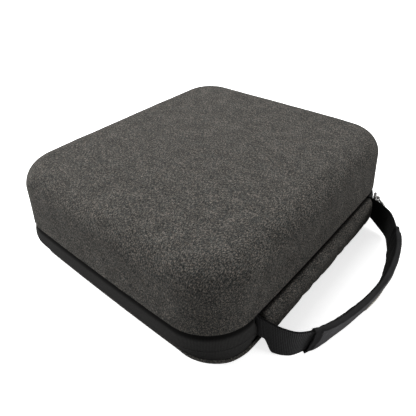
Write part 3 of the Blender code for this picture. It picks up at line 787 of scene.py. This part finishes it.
def binding_section(rim, up):
    """A bound edge that wraps from the shell's outer side, past its rim, to the lining."""
    outside, inside = FOAM_DEPTH - 0.0008, binding_face(up)
    tall = 0.0088 if up > 0 else 0.0058
    section = [
        (outside, 0.0035), (outside, -0.0004), (outside + 0.0004, -0.0009), (inside - 0.0004, -0.0009),
        (inside, -0.0004), (inside, tall), (inside - 0.0003, tall + 0.0002), (inside - 0.0007, tall),
        (inside - 0.0007, -0.0001), (inside - 0.0010, -0.0003), (outside + 0.0008, -0.0003),
        (outside + 0.0006, 0.0001), (outside + 0.0006, 0.0035), (outside + 0.0003, 0.0037),
    ]
    return [(inset, rim + up * z) for inset, z in section]


def build_bindings():
    edges = (("lid", LID_SHELL_RIM_Z, 1, 0.0072), ("base", BASE_SHELL_RIM_Z, -1, 0.0045))
    for side, rim, up, height in edges:
        edging = band(side + "_edging", binding_section(rim, up), "grosgrain")
        finished(edging, side, [side + "_binding"])
        row = along_zip(binding_face(up), rim + up * height, 0.0031)
        row = [(p, t, tuple(-k for k in n)) for p, t, n in row]
        sewn = stitches(side + "_edging_stitches", row, 0.0021, 0.00022)
        finished(sewn, side)


def tape_profile(sewn_z, sewn_depth, rim_z, free_z):
    """A zip tape's section: flat where it is sewn in, bellied to the zip line, its free edge folded over."""
    way = 1 if free_z > rim_z else -1
    outer = [(sewn_depth, sewn_z), (TAPE_DEPTH, rim_z - way * 0.0006)]
    for share in between(0, 1, 14):
        z = rim_z + (free_z - way * 0.0007 - rim_z) * share
        outer.append((tape_inset(z, rim_z, free_z - way * 0.0007), z))
    edge = -ZIP_PROUD
    fold = [(edge + 0.00007, free_z - way * 0.00035), (edge + 0.0003, free_z - way * 0.0001),
            (edge + 0.0007, free_z - way * 0.00002)]
    inner = [(inset + TAPE_T, z) for inset, z in reversed(outer)]
    return outer + fold + inner


def tape_inset(z, rim_z, free_z):
    share = clamped((abs(z - rim_z) / abs(free_z - rim_z) - 0.09) / 0.91)
    return TAPE_DEPTH - (TAPE_DEPTH + ZIP_PROUD) * math.sin(math.pi / 2 * share) ** 1.25


def tape_path():
    """The zip's plan with its near end turned in behind the spine strip's end."""
    spots, normals = list(SPOTS[:ZIP_COUNT]), list(NORMALS[:ZIP_COUNT])
    x, y = spots[-1]
    radius = 0.0016
    for turn in between(0, math.pi / 2, 5)[1:]:
        spots.append((x - radius * (1 - math.cos(turn)), y + radius * math.sin(turn)))
        normals.append((math.cos(turn), math.sin(turn)))
    return np.array(spots), np.array(normals)


def build_zip():
    spots, normals = tape_path()
    lid_rim, base_rim = LID_RIM_Z - 0.0005, BASE_RIM_Z + 0.0005
    parts = (
        ("lid", LID_RIM_Z + TAPE_TUCK, TAPE_DEPTH + LID_DRAFT * TAPE_TUCK, lid_rim, 1),
        ("base", BASE_RIM_Z - 0.0008, TAPE_DEPTH, base_rim, -1),
    )
    for side, sewn_z, sewn_depth, rim_z, up in parts:
        free_z = ZIP_Z + up * GAP
        look = "lid_tape" if side == "lid" else "tape"
        tape = band(side + "_zip_tape", tape_profile(sewn_z, sewn_depth, rim_z, free_z), look, spots, normals)
        finished(tape, side, ["zip_tape_" + side])
        rows = []
        for offset, shift in ((0.0019, 0.0), (0.0031, 0.001)):
            z = ZIP_Z + up * offset
            rows += along_zip(tape_inset(z, rim_z, free_z) + 0.00004, z, 0.0022, shift)
        sewn = stitches(side + "_zip_stitches", rows, 0.0015, 0.00016, "tape")
        finished(sewn, side)
        build_coil(side, ZIP_Z + up * 0.0013)


def build_coil(side, middle_z):
    """A real nylon coil, wound along the hidden side of the tape."""
    pitch, wound, wire = 0.0017, 0.00078, 0.00020
    flat = SPOTS[:ZIP_COUNT] - NORMALS[:ZIP_COUNT] * 0.0009
    run = lengths(flat, False)
    wraps = int(run[-1] / pitch)
    steps = np.arange(wraps * 9 + 1) / 9.0
    distance = steps * pitch
    x, y = (np.interp(distance, run, flat[:, k]) for k in range(2))
    nx, ny = (np.interp(distance, run, NORMALS[:ZIP_COUNT, k]) for k in range(2))
    swing = 2 * np.pi * steps
    out = np.cos(swing) * wound
    middle = np.column_stack([x + nx * out, y + ny * out, middle_z + np.sin(swing) * wound])
    ahead = np.gradient(middle, axis=0)
    ahead /= np.linalg.norm(ahead, axis=1)[:, None]
    path = np.column_stack([-ny, nx, np.zeros_like(nx)])
    side_way = np.cross(ahead, path)
    side_way /= np.linalg.norm(side_way, axis=1)[:, None]
    other = np.cross(ahead, side_way)
    sections = [middle + wire * (math.cos(a) * side_way + math.sin(a) * other) for a in turns(5)]
    coil = sweep(side + "_zip_coil", np.stack(sections, axis=1), "coil", sharp=80.0)
    finished(coil, side, ["zip_coil_" + side])


# ---------------------------------------------------------------- spine

def wall_x(y):
    return bowed(HALF_X, y)[0]


def build_strip():
    """The padded strip over the hinge: a long pillow whose edges are sewn down into the case."""
    middle_z = (STRIP_LOW.z + STRIP_HIGH.z) / 2
    half_h = (STRIP_HIGH.z - STRIP_LOW.z) / 2
    back = -0.0009
    inner_y = STRIP_HALF_L - STRIP_END_R
    ends = [inner_y + STRIP_END_R * math.sin(a) for a in between(0, math.pi / 2, 9)]
    offsets = [-y for y in reversed(ends)] + between(-inner_y, inner_y, 56)[1:-1] + ends
    sections = []
    for offset in offsets:
        past = max(0.0, abs(offset) - inner_y) / STRIP_END_R
        fullness = max(0.0, 1 - past**3) ** 0.4
        tall = half_h * (0.82 + 0.18 * fullness)
        proud = (STRIP_PROUD - back) * (0.45 + 0.55 * fullness)
        y = STRIP_MIDDLE_Y + offset
        x = wall_x(y)
        section = []
        for turn in between(-math.pi / 2, math.pi / 2, 34):
            swell = math.cos(turn) ** 0.62 if abs(turn) < 1.5707 else 0.0
            v = eased(math.sin(turn), 0.80)
            p = Vector((x, y, middle_z + tall * v))
            pull = noise.noise(Vector((0.0, y * 130.0, v * 1.6))) * 0.00030
            pull += noise.noise(p * 45.0) * 0.00040
            out = proud * swell * (1 + pull / proud)
            tuck = STRIP_TUCK * math.exp(-((out / 0.0021) ** 2)) * v
            section.append((x + back + out, y, p.z - tuck))
        edge = tall - STRIP_TUCK
        section += [(x + back - 0.0002, y, middle_z + edge * w) for w in (0.9, 0.5, 0.0, -0.5, -0.9)]
        sections.append(section)
    strip = sweep("spine_strip", sections, "heather", swap=True)
    size = len(sections[0])
    sewn = [i for i in range(len(strip.data.vertices))
            if not 2 < i % size < 32 or i // size in (0, len(sections) - 1)]
    settle(strip, sewn, 0.008, 0.0005)
    blend = ("base", "lid", (0.115, 0.0, 0.0310), (0.115, 0.0, 0.0356))
    finished(strip, replaces=["hinge_strip"], blend=blend)


def build_hinge():
    """The flexible web behind the strip, and the lining that covers the hinge from inside."""
    web_low, web_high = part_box("hinge_web")
    rows = (
        ("hinge_gusset", "grosgrain", TAPE_DEPTH, 0.0008, web_low.z, web_high.z, ["hinge_web"], 0.0205, 0.0335),
        ("hinge_lining", "lining", LINING_DEPTH + LINING_T + GAP, 0.0007, 0.0115, 0.0330, [], 0.0150, 0.0300),
    )
    for name, look, depth, thick, low, high, stands_for, start, end in rows:
        sections = []
        for y in between(web_low.y, web_high.y, 48):
            x = wall_x(y) - depth
            front = [(x, y, z) for z in between(low, high, 22)]
            behind = [(x - thick, y, z) for z in between(high, low, 22)]
            sections.append(front + behind)
        made = sweep(name, sections, look)
        finished(made, replaces=stands_for, blend=("base", "lid", (0.11, 0.0, start), (0.11, 0.0, end)))


# ---------------------------------------------------------------- interior

def rounded_rectangle(x_range, length, radius, steps=8):
    x0, x1 = x_range
    half = length / 2
    corners = [(x1 - radius, half - radius), (x0 + radius, half - radius)]
    corners += [(x0 + radius, radius - half), (x1 - radius, radius - half)]
    outline = []
    for quarter, (cx, cy) in enumerate(corners):
        for step in range(steps + 1):
            turn = math.pi / 2 * (quarter + step / steps)
            outline.append((cx + radius * math.cos(turn), cy + radius * math.sin(turn)))
    return outline


def block(name, outline, levels, look):
    """A stack of one outline at several heights, as a closed body."""
    return sweep(name, [[(x, y, z) for x, y in outline] for z in levels], look)


def insert_level(inset, z):
    limit = HALF_X - INSERT_SPINE_CLEAR - (inset - INSERT_INSET)
    return [(min(x, limit), y, z) for x, y, _ in ring(inset, z)]


def build_insert():
    """Die-cut foam with two bays, on a thin foam sheet. Its cut edges are slightly rounded."""
    walls = [insert_level(INSERT_INSET, z) for z in (BAY_FLOOR_Z + GAP, INSERT_TOP_Z)]
    insert = sweep("insert_foam_block", walls, "insert")
    cutters = []
    for span in (MONITOR_BAY, CABLE_BAY):
        outline = rounded_rectangle(span, BAY_LENGTH, BAY_CORNER_R)
        cutter = block("bay_cutter", outline, (0.0, HEIGHT), "insert")
        step = insert.modifiers.new("bay", "BOOLEAN")
        step.object, step.operation, step.solver = cutter, "DIFFERENCE", "EXACT"
        cutters.append(cutter)
    apply_modifiers(insert)
    for cutter in cutters:
        bpy.data.objects.remove(cutter)
    round_edges(insert, 0.0011, 3, 50.0)
    finished(insert, "base", ["foam_insert"])
    levels = [(0.0215, 0.0058), (0.0180, 0.0064), (0.0145, 0.0076), (0.0125, 0.0094), (INSERT_INSET, 0.0112)]
    levels.append((INSERT_INSET, BAY_FLOOR_Z))
    sheet = sweep("insert_sheet", [insert_level(*level) for level in levels], "insert")
    finished(sheet, "base", ["insert_floor"])


def round_edges(made, width, segments, angle):
    step = made.modifiers.new("rounded", "BEVEL")
    step.width, step.segments, step.limit_method = width, segments, "ANGLE"
    step.angle_limit = math.radians(angle)
    step.harden_normals = False
    apply_modifiers(made)
    smooth(made.data)


def build_pad():
    """The soft pad in the monitor's bay: a thin cushion, crowned and sewn round its edge."""
    low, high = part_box("bay_pad")
    thick = high.z - low.z
    half_x, half_y = (high.x - low.x) / 2, (high.y - low.y) / 2
    middle_x = (low.x + high.x) / 2
    outline = rounded_rectangle((-half_x, half_x), 2 * half_y, 0.0055)
    sections = []
    for share, rise in PAD_PROFILE:
        edge = (1 - share) * min(half_x, half_y)
        section = []
        for x, y in outline:
            px, py = x * (half_x - edge) / half_x, y * (half_y - edge) / half_y
            z = low.z + thick * rise
            if rise > 0.5:
                z -= 0.00035 * (0.5 + noise.noise(Vector((px, py, 0.0)) * 55.0))
            section.append((middle_x + px, py, z))
        sections.append(section)
    pad = sweep("bay_cushion", sections, "lining")
    size = len(outline)
    settle(pad, [i for i in range(len(pad.data.vertices)) if i // size < 7], 0.01, 0.0006, 0.5)
    finished(pad, "base", ["bay_pad"])


def build_pocket():
    """A net pocket under the lid's ceiling: knotted net, a sewn border, and a gathered elastic edge."""
    low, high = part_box("lid_pocket")
    net_z, ceiling = low.z + 0.0004, high.z
    cell = 0.0040
    half_x, half_y, corner = (size - NET_INSET for size in (HALF_X, HALF_Y, CORNER_R))
    shape = bmesh.new()
    found = {}

    def knot(i, j):
        if (i, j) not in found:
            x, y = i * cell / 2, j * cell / 2
            dip = 0.0006 * math.sin(math.pi * (x + half_x) / (2 * half_x))
            found[i, j] = shape.verts.new((x, y, net_z + dip * 0.5))
        return found[i, j]

    reach_i, reach_j = int(2 * half_x / cell), int(2 * half_y / cell)
    for i in range(-reach_i, reach_i + 1):
        for j in range(-reach_j, reach_j + 1):
            if (i + j) % 2 == 0:
                continue
            x, y = abs(i * cell / 2), abs(j * cell / 2)
            over_x, over_y = max(0.0, x - half_x + corner), max(0.0, y - half_y + corner)
            if math.hypot(over_x, over_y) < corner:
                shape.faces.new([knot(i - 1, j), knot(i, j - 1), knot(i + 1, j), knot(i, j + 1)])
    mesh = bpy.data.meshes.new("pocket_net")
    shape.to_mesh(mesh)
    shape.free()
    mesh.materials.append(LOOKS["mesh"])
    net = linked("pocket_net", mesh)
    step = net.modifiers.new("threads", "WIREFRAME")
    step.thickness = 0.0007
    step.use_even_offset = False
    apply_modifiers(net)
    net.data.shade_smooth()
    finished(net, "lid", ["lid_pocket"])

    profile = (
        (0.0230, ceiling), (0.0236, ceiling - 0.0014), (0.0250, net_z + 0.0013), (0.0280, net_z + 0.0002),
        (0.0318, net_z - 0.0002), (0.0320, net_z + 0.0002), (0.0316, net_z + 0.0006), (0.0282, net_z + 0.0010),
        (0.0256, net_z + 0.0020), (0.0243, ceiling - 0.0012), (0.0238, ceiling),
    )
    sections = [
        [(x - nx * inset, y - ny * inset, z) for inset, z in profile]
        for (x, y), (nx, ny) in zip(SPOTS, NORMALS)
    ]
    border = sweep("pocket_border", sections, "grosgrain", closed=True)
    finished(border, "lid")

    low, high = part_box("lid_pocket_elastic")
    middle_x, middle_z = (low.x + high.x) / 2, (low.z + high.z) / 2
    loop = soft_box(16, (high.x - low.x) / 2, 0.7 * (high.z - low.z) / 2, 0.35, 0.8)
    sections = []
    for y in between(low.y, high.y, 150):
        z = middle_z + 0.00022 * math.sin(y * 2 * math.pi / 0.0052)
        sections.append([(middle_x + a, y, z + b) for a, b in loop])
    elastic = sweep("pocket_elastic", sections, "grosgrain")
    finished(elastic, "lid", ["lid_pocket_elastic"])


# ---------------------------------------------------------------- handle

def smooth_path(knots, steps):
    ends = [knots[0], *knots, knots[-1]]
    path = []
    for i in range(1, len(ends) - 2):
        a, b, c, d = (Vector(p) for p in ends[i - 1 : i + 3])
        for share in between(0, 1, steps)[:-1]:
            t2, t3 = share**2, share**3
            bend = (2 * a - 5 * b + 4 * c - d) * t2 + (3 * b - a - 3 * c + d) * t3
            path.append(0.5 * (2 * b + (c - a) * share + bend))
    path.append(Vector(knots[-1]))
    return path


def handle_frames(steps):
    """Places along the webbing's centre, each with its outward direction and its width direction."""
    path = smooth_path(HANDLE_LOOP, steps)
    frames = []
    for i, point in enumerate(path):
        ahead = (path[min(i + 1, len(path) - 1)] - path[max(i - 1, 0)]).xy.normalized()
        share = math.sin(math.pi * i / (len(path) - 1)) ** 2
        lean = point.z
        out = Vector((ahead.y, -ahead.x, 0.0))
        across = out * math.sin(lean) + UP * math.cos(lean)
        away = out * math.cos(lean) - UP * math.sin(lean)
        z = WEBBING_LOW_Z + WEBBING_W / 2 * math.cos(lean) + WEBBING_RISE * share
        frames.append((Vector((point.x, point.y, z)), away, across))
    return frames


def clipped(frames, limit, keep_below):
    """The run of frames on one side of a y limit, with a frame placed exactly on it."""
    kept = []
    for i, here in enumerate(frames):
        inside = (here[0].y <= limit) == keep_below
        if i:
            before = frames[i - 1]
            if ((before[0].y <= limit) == keep_below) != inside:
                share = (limit - before[0].y) / (here[0].y - before[0].y)
                kept.append(tuple(before[k].lerp(here[k], share) for k in range(3)))
        if inside:
            kept.append(here)
    return kept


def stretch(low_y, high_y):
    """The webbing's frames between two places along the spine, and the distance along it at each."""
    frames = clipped(clipped(handle_frames(16), low_y, False), high_y, True)
    return frames, lengths([tuple(place) for place, _, _ in frames], False)


def placed(frame_here, out, up):
    p, away, across = frame_here
    return p + away * out + across * up


def build_strap():
    """One run of webbing from seam to seam, narrowed at its necks by the case and at full width out in the loop.
    """
    frames = handle_frames(16)
    half_t, half_w = WEBBING_T / 2, WEBBING_W / 2
    across = [math.sin(a) for a in between(-math.pi / 2, math.pi / 2, 14)]
    sections = []
    for i, here in enumerate(frames):
        x = here[0].x
        neck_z, narrow_x, full_x = NECKS[i > len(frames) / 2]
        share = clamped((x - narrow_x) / (full_x - narrow_x))
        share = share * share * (3 - 2 * share)
        low, high = (z - WEBBING_LOW_Z - half_w for z in (neck_z, NECK_TOP_Z))
        low, high = low + (-half_w - low) * share, high + (half_w - high) * share
        cup = 0.0005 * math.sin(math.pi * i / (len(frames) - 1))
        face, back = [], []
        for v in across:
            up = (low + high) / 2 + (high - low) / 2 * v
            thin = half_t * (1 - abs(v) ** 14) ** 0.5
            bend = cup * (v * v - 0.5)
            face.append(placed(here, thin + bend, up))
            back.append(placed(here, -thin + bend, up))
        sections.append(face + back[-2:0:-1])
    strap = sweep("handle_strap", sections, "webbing")
    blend = ("base", "handle", (0.1160, 0.0, 0.0166), (0.1400, 0.0, 0.0166))
    nodes = ["handle_webbing", "handle_tail_near", "handle_tail_far"]
    finished(strap, replaces=nodes, blend=blend)


def grip_loop(shrink):
    """The sleeve's section as (out, up) points: a flat box with soft corners."""
    out_low, out_high = GRIP_OUT[0] + shrink, GRIP_OUT[1] - shrink
    middle = (out_low + out_high) / 2
    loop = soft_box(44, (out_high - out_low) / 2, GRIP_UP - shrink, 0.42, 0.80)
    return [(middle + out, up) for out, up in loop]


def build_grip():
    frames, along = stretch(GRIP_NEAR_Y, GRIP_FAR_Y)
    outer, inner = grip_loop(0.0), grip_loop(GRIP_WALL)
    size = len(outer)
    points, faces, uvs = [], [], []
    around = lengths([(a, b, 0.0) for a, b in outer], True)
    middle = min((abs(up), d) for (out, up), d in zip(outer, around) if out > 0)[1]
    around = [min(abs(d - middle), around[-1] - abs(d - middle)) for d in around]
    for r, here in enumerate(frames):
        from_end = min(along[r], along[-1] - along[r])
        hem = 0.00045 * math.exp(-((from_end - GRIP_HEM) / 0.0016) ** 2)
        for loop, is_outer in ((outer, True), (inner, False)):
            for out, up in loop:
                p = placed(here, out, up)
                pull = 0.0
                if is_outer:
                    raised = clamped((GRIP_UP - 0.0013 - abs(up)) / 0.0006) * (out > 0.001)
                    raised *= clamped((from_end - 0.0030) / 0.0006)
                    pull = 0.0003 * raised - hem
                    pull += 0.00045 * noise.noise(Vector((along[r] * 60.0, up * 90.0, 3.0)))
                    pull += 0.0002 * noise.noise(Vector((along[r] * 260.0, up * 60.0, 9.0)))
                points.append(p + here[1] * (pull * (1 if out > 0.0012 else -1)))
    rings = len(frames)
    for offset in (0, size):
        for r in range(rings - 1):
            faces += quads(r * 2 * size + offset, (r + 1) * 2 * size + offset, size)
            uvs += ring_uvs(along, around, r)
    for r in (0, rings - 1):
        faces += quads(r * 2 * size, (r * 2 + 1) * size, size)
        uvs += [(along[r], around[i]) for i in range(size) for _ in range(4)]
    sleeve = mesh_piece("grip_sleeve", points, faces, "grip", uvs)
    hems = (0, 1, 2, rings - 3, rings - 2, rings - 1)
    sewn = [i for i in range(len(points)) if i % (2 * size) >= size or i // (2 * size) in hems]
    settle(sleeve, sewn, 0.012, 0.0004, 1.0)
    finished(sleeve, "handle", ["handle_grip"])

    sewn = []
    for near in (GRIP_HEM, along[-1] - GRIP_HEM):
        sewn += seam_across(frames, along, near)
    for up in (-GRIP_UP + 0.0024, GRIP_UP - 0.0024):
        sewn += seam_along(frames, along, GRIP_OUT[1] - 0.0002, up, 0.0052, along[-1] - 0.0052)
    finished(stitches("grip_stitches", sewn, 0.0019, 0.00024), "handle")
    build_grip_core(frames, along)


def frame_at(frames, along, distance):
    k = int(np.clip(np.searchsorted(along, distance) - 1, 0, len(frames) - 2))
    share = (distance - along[k]) / (along[k + 1] - along[k])
    return tuple(frames[k][n].lerp(frames[k + 1][n], share) for n in range(3))


def seam_along(frames, along, out, up, start, end, pitch=0.0028):
    places = []
    for distance in np.arange(start, end, pitch):
        here = frame_at(frames, along, distance)
        ahead = frame_at(frames, along, distance + 0.0005)[0] - here[0]
        places.append((placed(here, out, up), ahead, here[1]))
    return places


def seam_across(frames, along, distance, pitch=0.0028):
    here = frame_at(frames, along, distance)
    places = []
    for up in np.arange(-GRIP_UP + 0.004, GRIP_UP - 0.004, pitch):
        places.append((placed(here, GRIP_OUT[1] - 0.0004, float(up)), here[2], here[1]))
    return places


def build_grip_core(frames, along):
    """The foam strip inside the sleeve, and the plain patch sewn on its face."""
    low_out, high_out = WEBBING_T / 2 + GAP, GRIP_OUT[1] - GRIP_WALL - GAP
    middle = (low_out + high_out) / 2
    loop = soft_box(20, (high_out - low_out) / 2, 0.0135, 0.5, 0.9)
    sections = []
    for distance in between(0.003, along[-1] - 0.003, 60):
        here = frame_at(frames, along, distance)
        sections.append([placed(here, middle + out, up) for out, up in loop])
    finished(sweep("grip_core", sections, "insert"), "handle", ["grip_pad"])

    held, run = stretch(*PATCH_SPAN)
    low, high, out = *PATCH_RISE, GRIP_OUT[1] + GAP
    sections = []
    for distance in between(0.0, run[-1], 24):
        here = frame_at(held, run, distance)
        edge = min(distance, run[-1] - distance)
        thick = PATCH_T if edge > 0.0006 else 0.75 * PATCH_T
        face = [(out + thick - 0.00015 * (abs(v) > 0.93), low + (high - low) * (v + 1) / 2)
                for v in between(-1, 1, 12)]
        section = face + [(out, high), (out, low)]
        sections.append([placed(here, a, b) for a, b in section])
    finished(sweep("blank_patch", sections, "patch"), "handle", ["grip_patch"])
    rows = []
    for up in (low + 0.0011, high - 0.0011):
        rows += seam_along(held, run, out + PATCH_T, up, 0.0016, run[-1] - 0.0016, 0.0020)
    for distance in (0.0012, run[-1] - 0.0012):
        here = frame_at(held, run, distance)
        for up in np.arange(low + 0.0022, high - 0.0018, 0.0020):
            rows.append((placed(here, out + PATCH_T, float(up)), here[2], here[1]))
    finished(stitches("patch_stitches", rows, 0.0013, 0.00018), "handle")


# ---------------------------------------------------------------- sliders

def wall_place(x, y, turn):
    return Matrix.Translation((x, y, ZIP_Z)) @ Matrix.Rotation(turn, 4, "Z")


def set_in(made, place):
    made.data.transform(place)
    return made


def join(name, parts):
    """Several bodies of one piece in one mesh."""
    shape = bmesh.new()
    for part in parts:
        shape.from_mesh(part.data)
    mesh = bpy.data.meshes.new(name)
    shape.to_mesh(mesh)
    shape.free()
    mesh.materials.append(parts[0].data.materials[0])
    smooth(mesh)
    for part in parts:
        bpy.data.objects.remove(part)
    return linked(name, mesh)


def build_slider(name, place):
    """The slider's outer plate with raised shoulders, and the arched bridge that holds the puller."""
    half_l, half_w, nose, tail = 0.0045, 0.0055, 0.0022, 0.0011
    plan = [
        (-half_l, tail - half_w), (tail - half_l, -half_w), (half_l - nose, -half_w), (half_l, nose - half_w),
        (half_l, half_w - nose), (half_l - nose, half_w), (tail - half_l, half_w), (-half_l, half_w - tail),
    ]
    plate = sweep(name + "_plate", [[(out, y, z) for y, z in plan] for out in (0.0, 0.0022)], "metal")
    round_edges(plate, 0.0005, 3, 30.0)
    foot, span, crown, bar = 0.0015, 0.0038, 0.0058, 0.0011
    path = [(foot, -span + bar / 2)]
    corner = 0.0013
    centre_out, centre_along = crown - bar / 2 - corner, span - bar / 2 - corner
    for turn in between(math.pi / 2, 0, 8):
        path.append((centre_out + corner * math.cos(turn), -centre_along - corner * math.sin(turn)))
    path += [(a, -b) for a, b in reversed(path)]
    sections = []
    for i, (out, y) in enumerate(path):
        a, b = path[max(i - 1, 0)], path[min(i + 1, len(path) - 1)]
        ahead = Vector((b[0] - a[0], b[1] - a[1])).normalized()
        loop = soft_box(14, bar / 2, bar, 0.7, 0.7)
        sections.append([(out + ahead.y * deep, y - ahead.x * deep, high) for deep, high in loop])
    bridge = sweep(name + "_bridge", sections, "metal")
    made = join(name + "_body", [set_in(plate, place), set_in(bridge, place)])
    return finished(made, name, [name])


def build_puller(name, place):
    """A flat tab with a slot where it hangs on the bridge, a waist, and a rounded, ridged end."""
    half_t = 0.0006
    edge = 0.00022
    outer = []
    for turn in turns(48):
        u = 0.0077 + 0.0083 * eased(math.cos(turn), 0.55)
        wide = 0.0028 + 0.0006 * clamped((u - 0.0075) / 0.0035)
        outer.append((u, wide * eased(math.sin(turn), 0.55)))
    inner = [(0.00355 + u, v) for u, v in soft_box(48, 0.00295, 0.0016, 0.6, 0.6)]
    count = len(outer)
    points = []
    for t, grow in ((-half_t, -edge), (-half_t + edge, 0.0), (half_t - edge, 0.0), (half_t, -edge)):
        for loop, sign in ((outer, 1), (inner, -1)):
            middle = Vector((sum(u for u, _ in loop) / count, 0.0))
            for p in map(Vector, loop):
                grown = p + (p - middle).normalized() * grow * sign
                points.append((grown.x, t, grown.y))
    faces = []
    for ring_number in range(6):
        faces += quads(ring_number * count, (ring_number + 2) * count, count)
    for ring_number in (0, 6):
        faces += quads(ring_number * count, (ring_number + 1) * count, count)
    tab = mesh_piece(name + "_tab", points, faces, "metal")
    ridges = []
    for u in (0.0102, 0.0116, 0.0130):
        for face in (-half_t, half_t):
            sections = []
            for z in between(-0.0024, 0.0024, 8):
                fade = math.sqrt(max(0.0, 1 - (z / 0.0026) ** 2))
                high = edge * fade
                sections.append([(u + 0.00035 * math.cos(a), face + high * math.sin(a), z) for a in turns(10)])
            ridges.append(sweep(name + "_ridge", sections, "metal"))
    made = join(name + "_metal", [tab, *ridges])
    turn = Matrix.Rotation(PULLER_REST - math.pi / 2, 4, "Z")
    set_in(made, place @ Matrix.Translation((PIN_OUT, 0, 0)) @ turn)
    return finished(made, name, [name])


def build_sliders():
    turn = CORNER_SLIDER_ANGLE
    corner = wall_place(
        HALF_X - CORNER_R + CORNER_SLIDER_R * math.cos(turn),
        HALF_Y - CORNER_R + CORNER_SLIDER_R * math.sin(turn),
        turn,
    )
    for name, place in (("corner", corner), ("side", wall_place(*SIDE_SLIDER, math.pi / 2))):
        build_slider(name + "_slider", place)
        build_puller(name + "_puller", place)


# ---------------------------------------------------------------- studio

def build_floor():
    size, rows = 3.0, 12
    points = [(x, y, -0.0002) for y in between(-size, size, rows) for x in between(-size, size, rows)]
    side = rows + 1
    faces = [
        (r * side + c, r * side + c + 1, (r + 1) * side + c + 1, (r + 1) * side + c)
        for r in range(rows) for c in range(rows)
    ]
    LOOKS["floor"] = floor_look()
    floor = mesh_piece("studio_floor", points, faces, "floor")


def area_light(name, place, target, size, power):
    data = bpy.data.lights.new(name, "AREA")
    data.shape, data.size, data.energy = "DISK", size, power
    lamp = linked(name, data)
    lamp.location = place
    lamp.rotation_mode = "QUATERNION"
    lamp.rotation_quaternion = (Vector(target) - Vector(place)).to_track_quat("-Z", "Y")


def build_lights():
    world = bpy.data.worlds.new("studio")
    world.use_nodes = True
    tree = world.node_tree
    background = tree.nodes["Background"]
    background.inputs["Color"].default_value = (1.0, 1.0, 1.0, 1.0)
    seen = tree.nodes.new("ShaderNodeLightPath").outputs["Is Camera Ray"]
    strength = tree.nodes.new("ShaderNodeMapRange")
    strength.inputs["To Min"].default_value = 0.30
    strength.inputs["To Max"].default_value = 1.0
    tree.links.new(seen, strength.inputs["Value"])
    tree.links.new(strength.outputs[0], background.inputs["Strength"])
    bpy.context.scene.world = world
    middle = (0.0, 0.0, 0.04)
    area_light("top_light", (-0.45, 0.25, 1.15), middle, 0.8, 16.0)
    area_light("left_light", (-0.75, -0.65, 0.40), middle, 0.5, 9.8)
    area_light("right_light", (0.82, 0.15, 0.30), (0.11, 0.0, 0.04), 0.35, 3.2)


def build_camera():
    """The photo's view. The angles, distance, lens and shift are rounded from a fit to the case's outline."""
    azimuth, elevation, roll = math.radians(41.69), math.radians(33.70), math.radians(-2.07)
    back = Vector((math.sin(azimuth) * math.cos(elevation), -math.cos(azimuth) * math.cos(elevation),
                   math.sin(elevation)))
    right = Vector((math.cos(azimuth), math.sin(azimuth), 0.0))
    up = back.cross(right)
    turned_right = right * math.cos(roll) + up * math.sin(roll)
    turned_up = up * math.cos(roll) - right * math.sin(roll)
    data = bpy.data.cameras.new("camera")
    data.sensor_width, data.lens = 36.0, 36.86
    data.shift_x, data.shift_y = -0.0038, -0.0524
    camera = linked("camera", data)
    turn = Matrix((turned_right, turned_up, back)).transposed().to_4x4()
    distance = 0.382
    camera.matrix_world = Matrix.Translation(Vector((0.0, 0.0, HEIGHT / 2)) + back * distance) @ turn
    bpy.context.scene.camera = camera


def main():
    build_covers()
    build_shells()
    build_bindings()
    build_zip()
    build_strip()
    build_hinge()
    build_insert()
    build_pad()
    build_pocket()
    build_strap()
    build_grip()
    build_sliders()
    build_floor()
    build_lights()
    build_camera()
    bpy.context.scene.view_settings.view_transform = "Standard"


main()
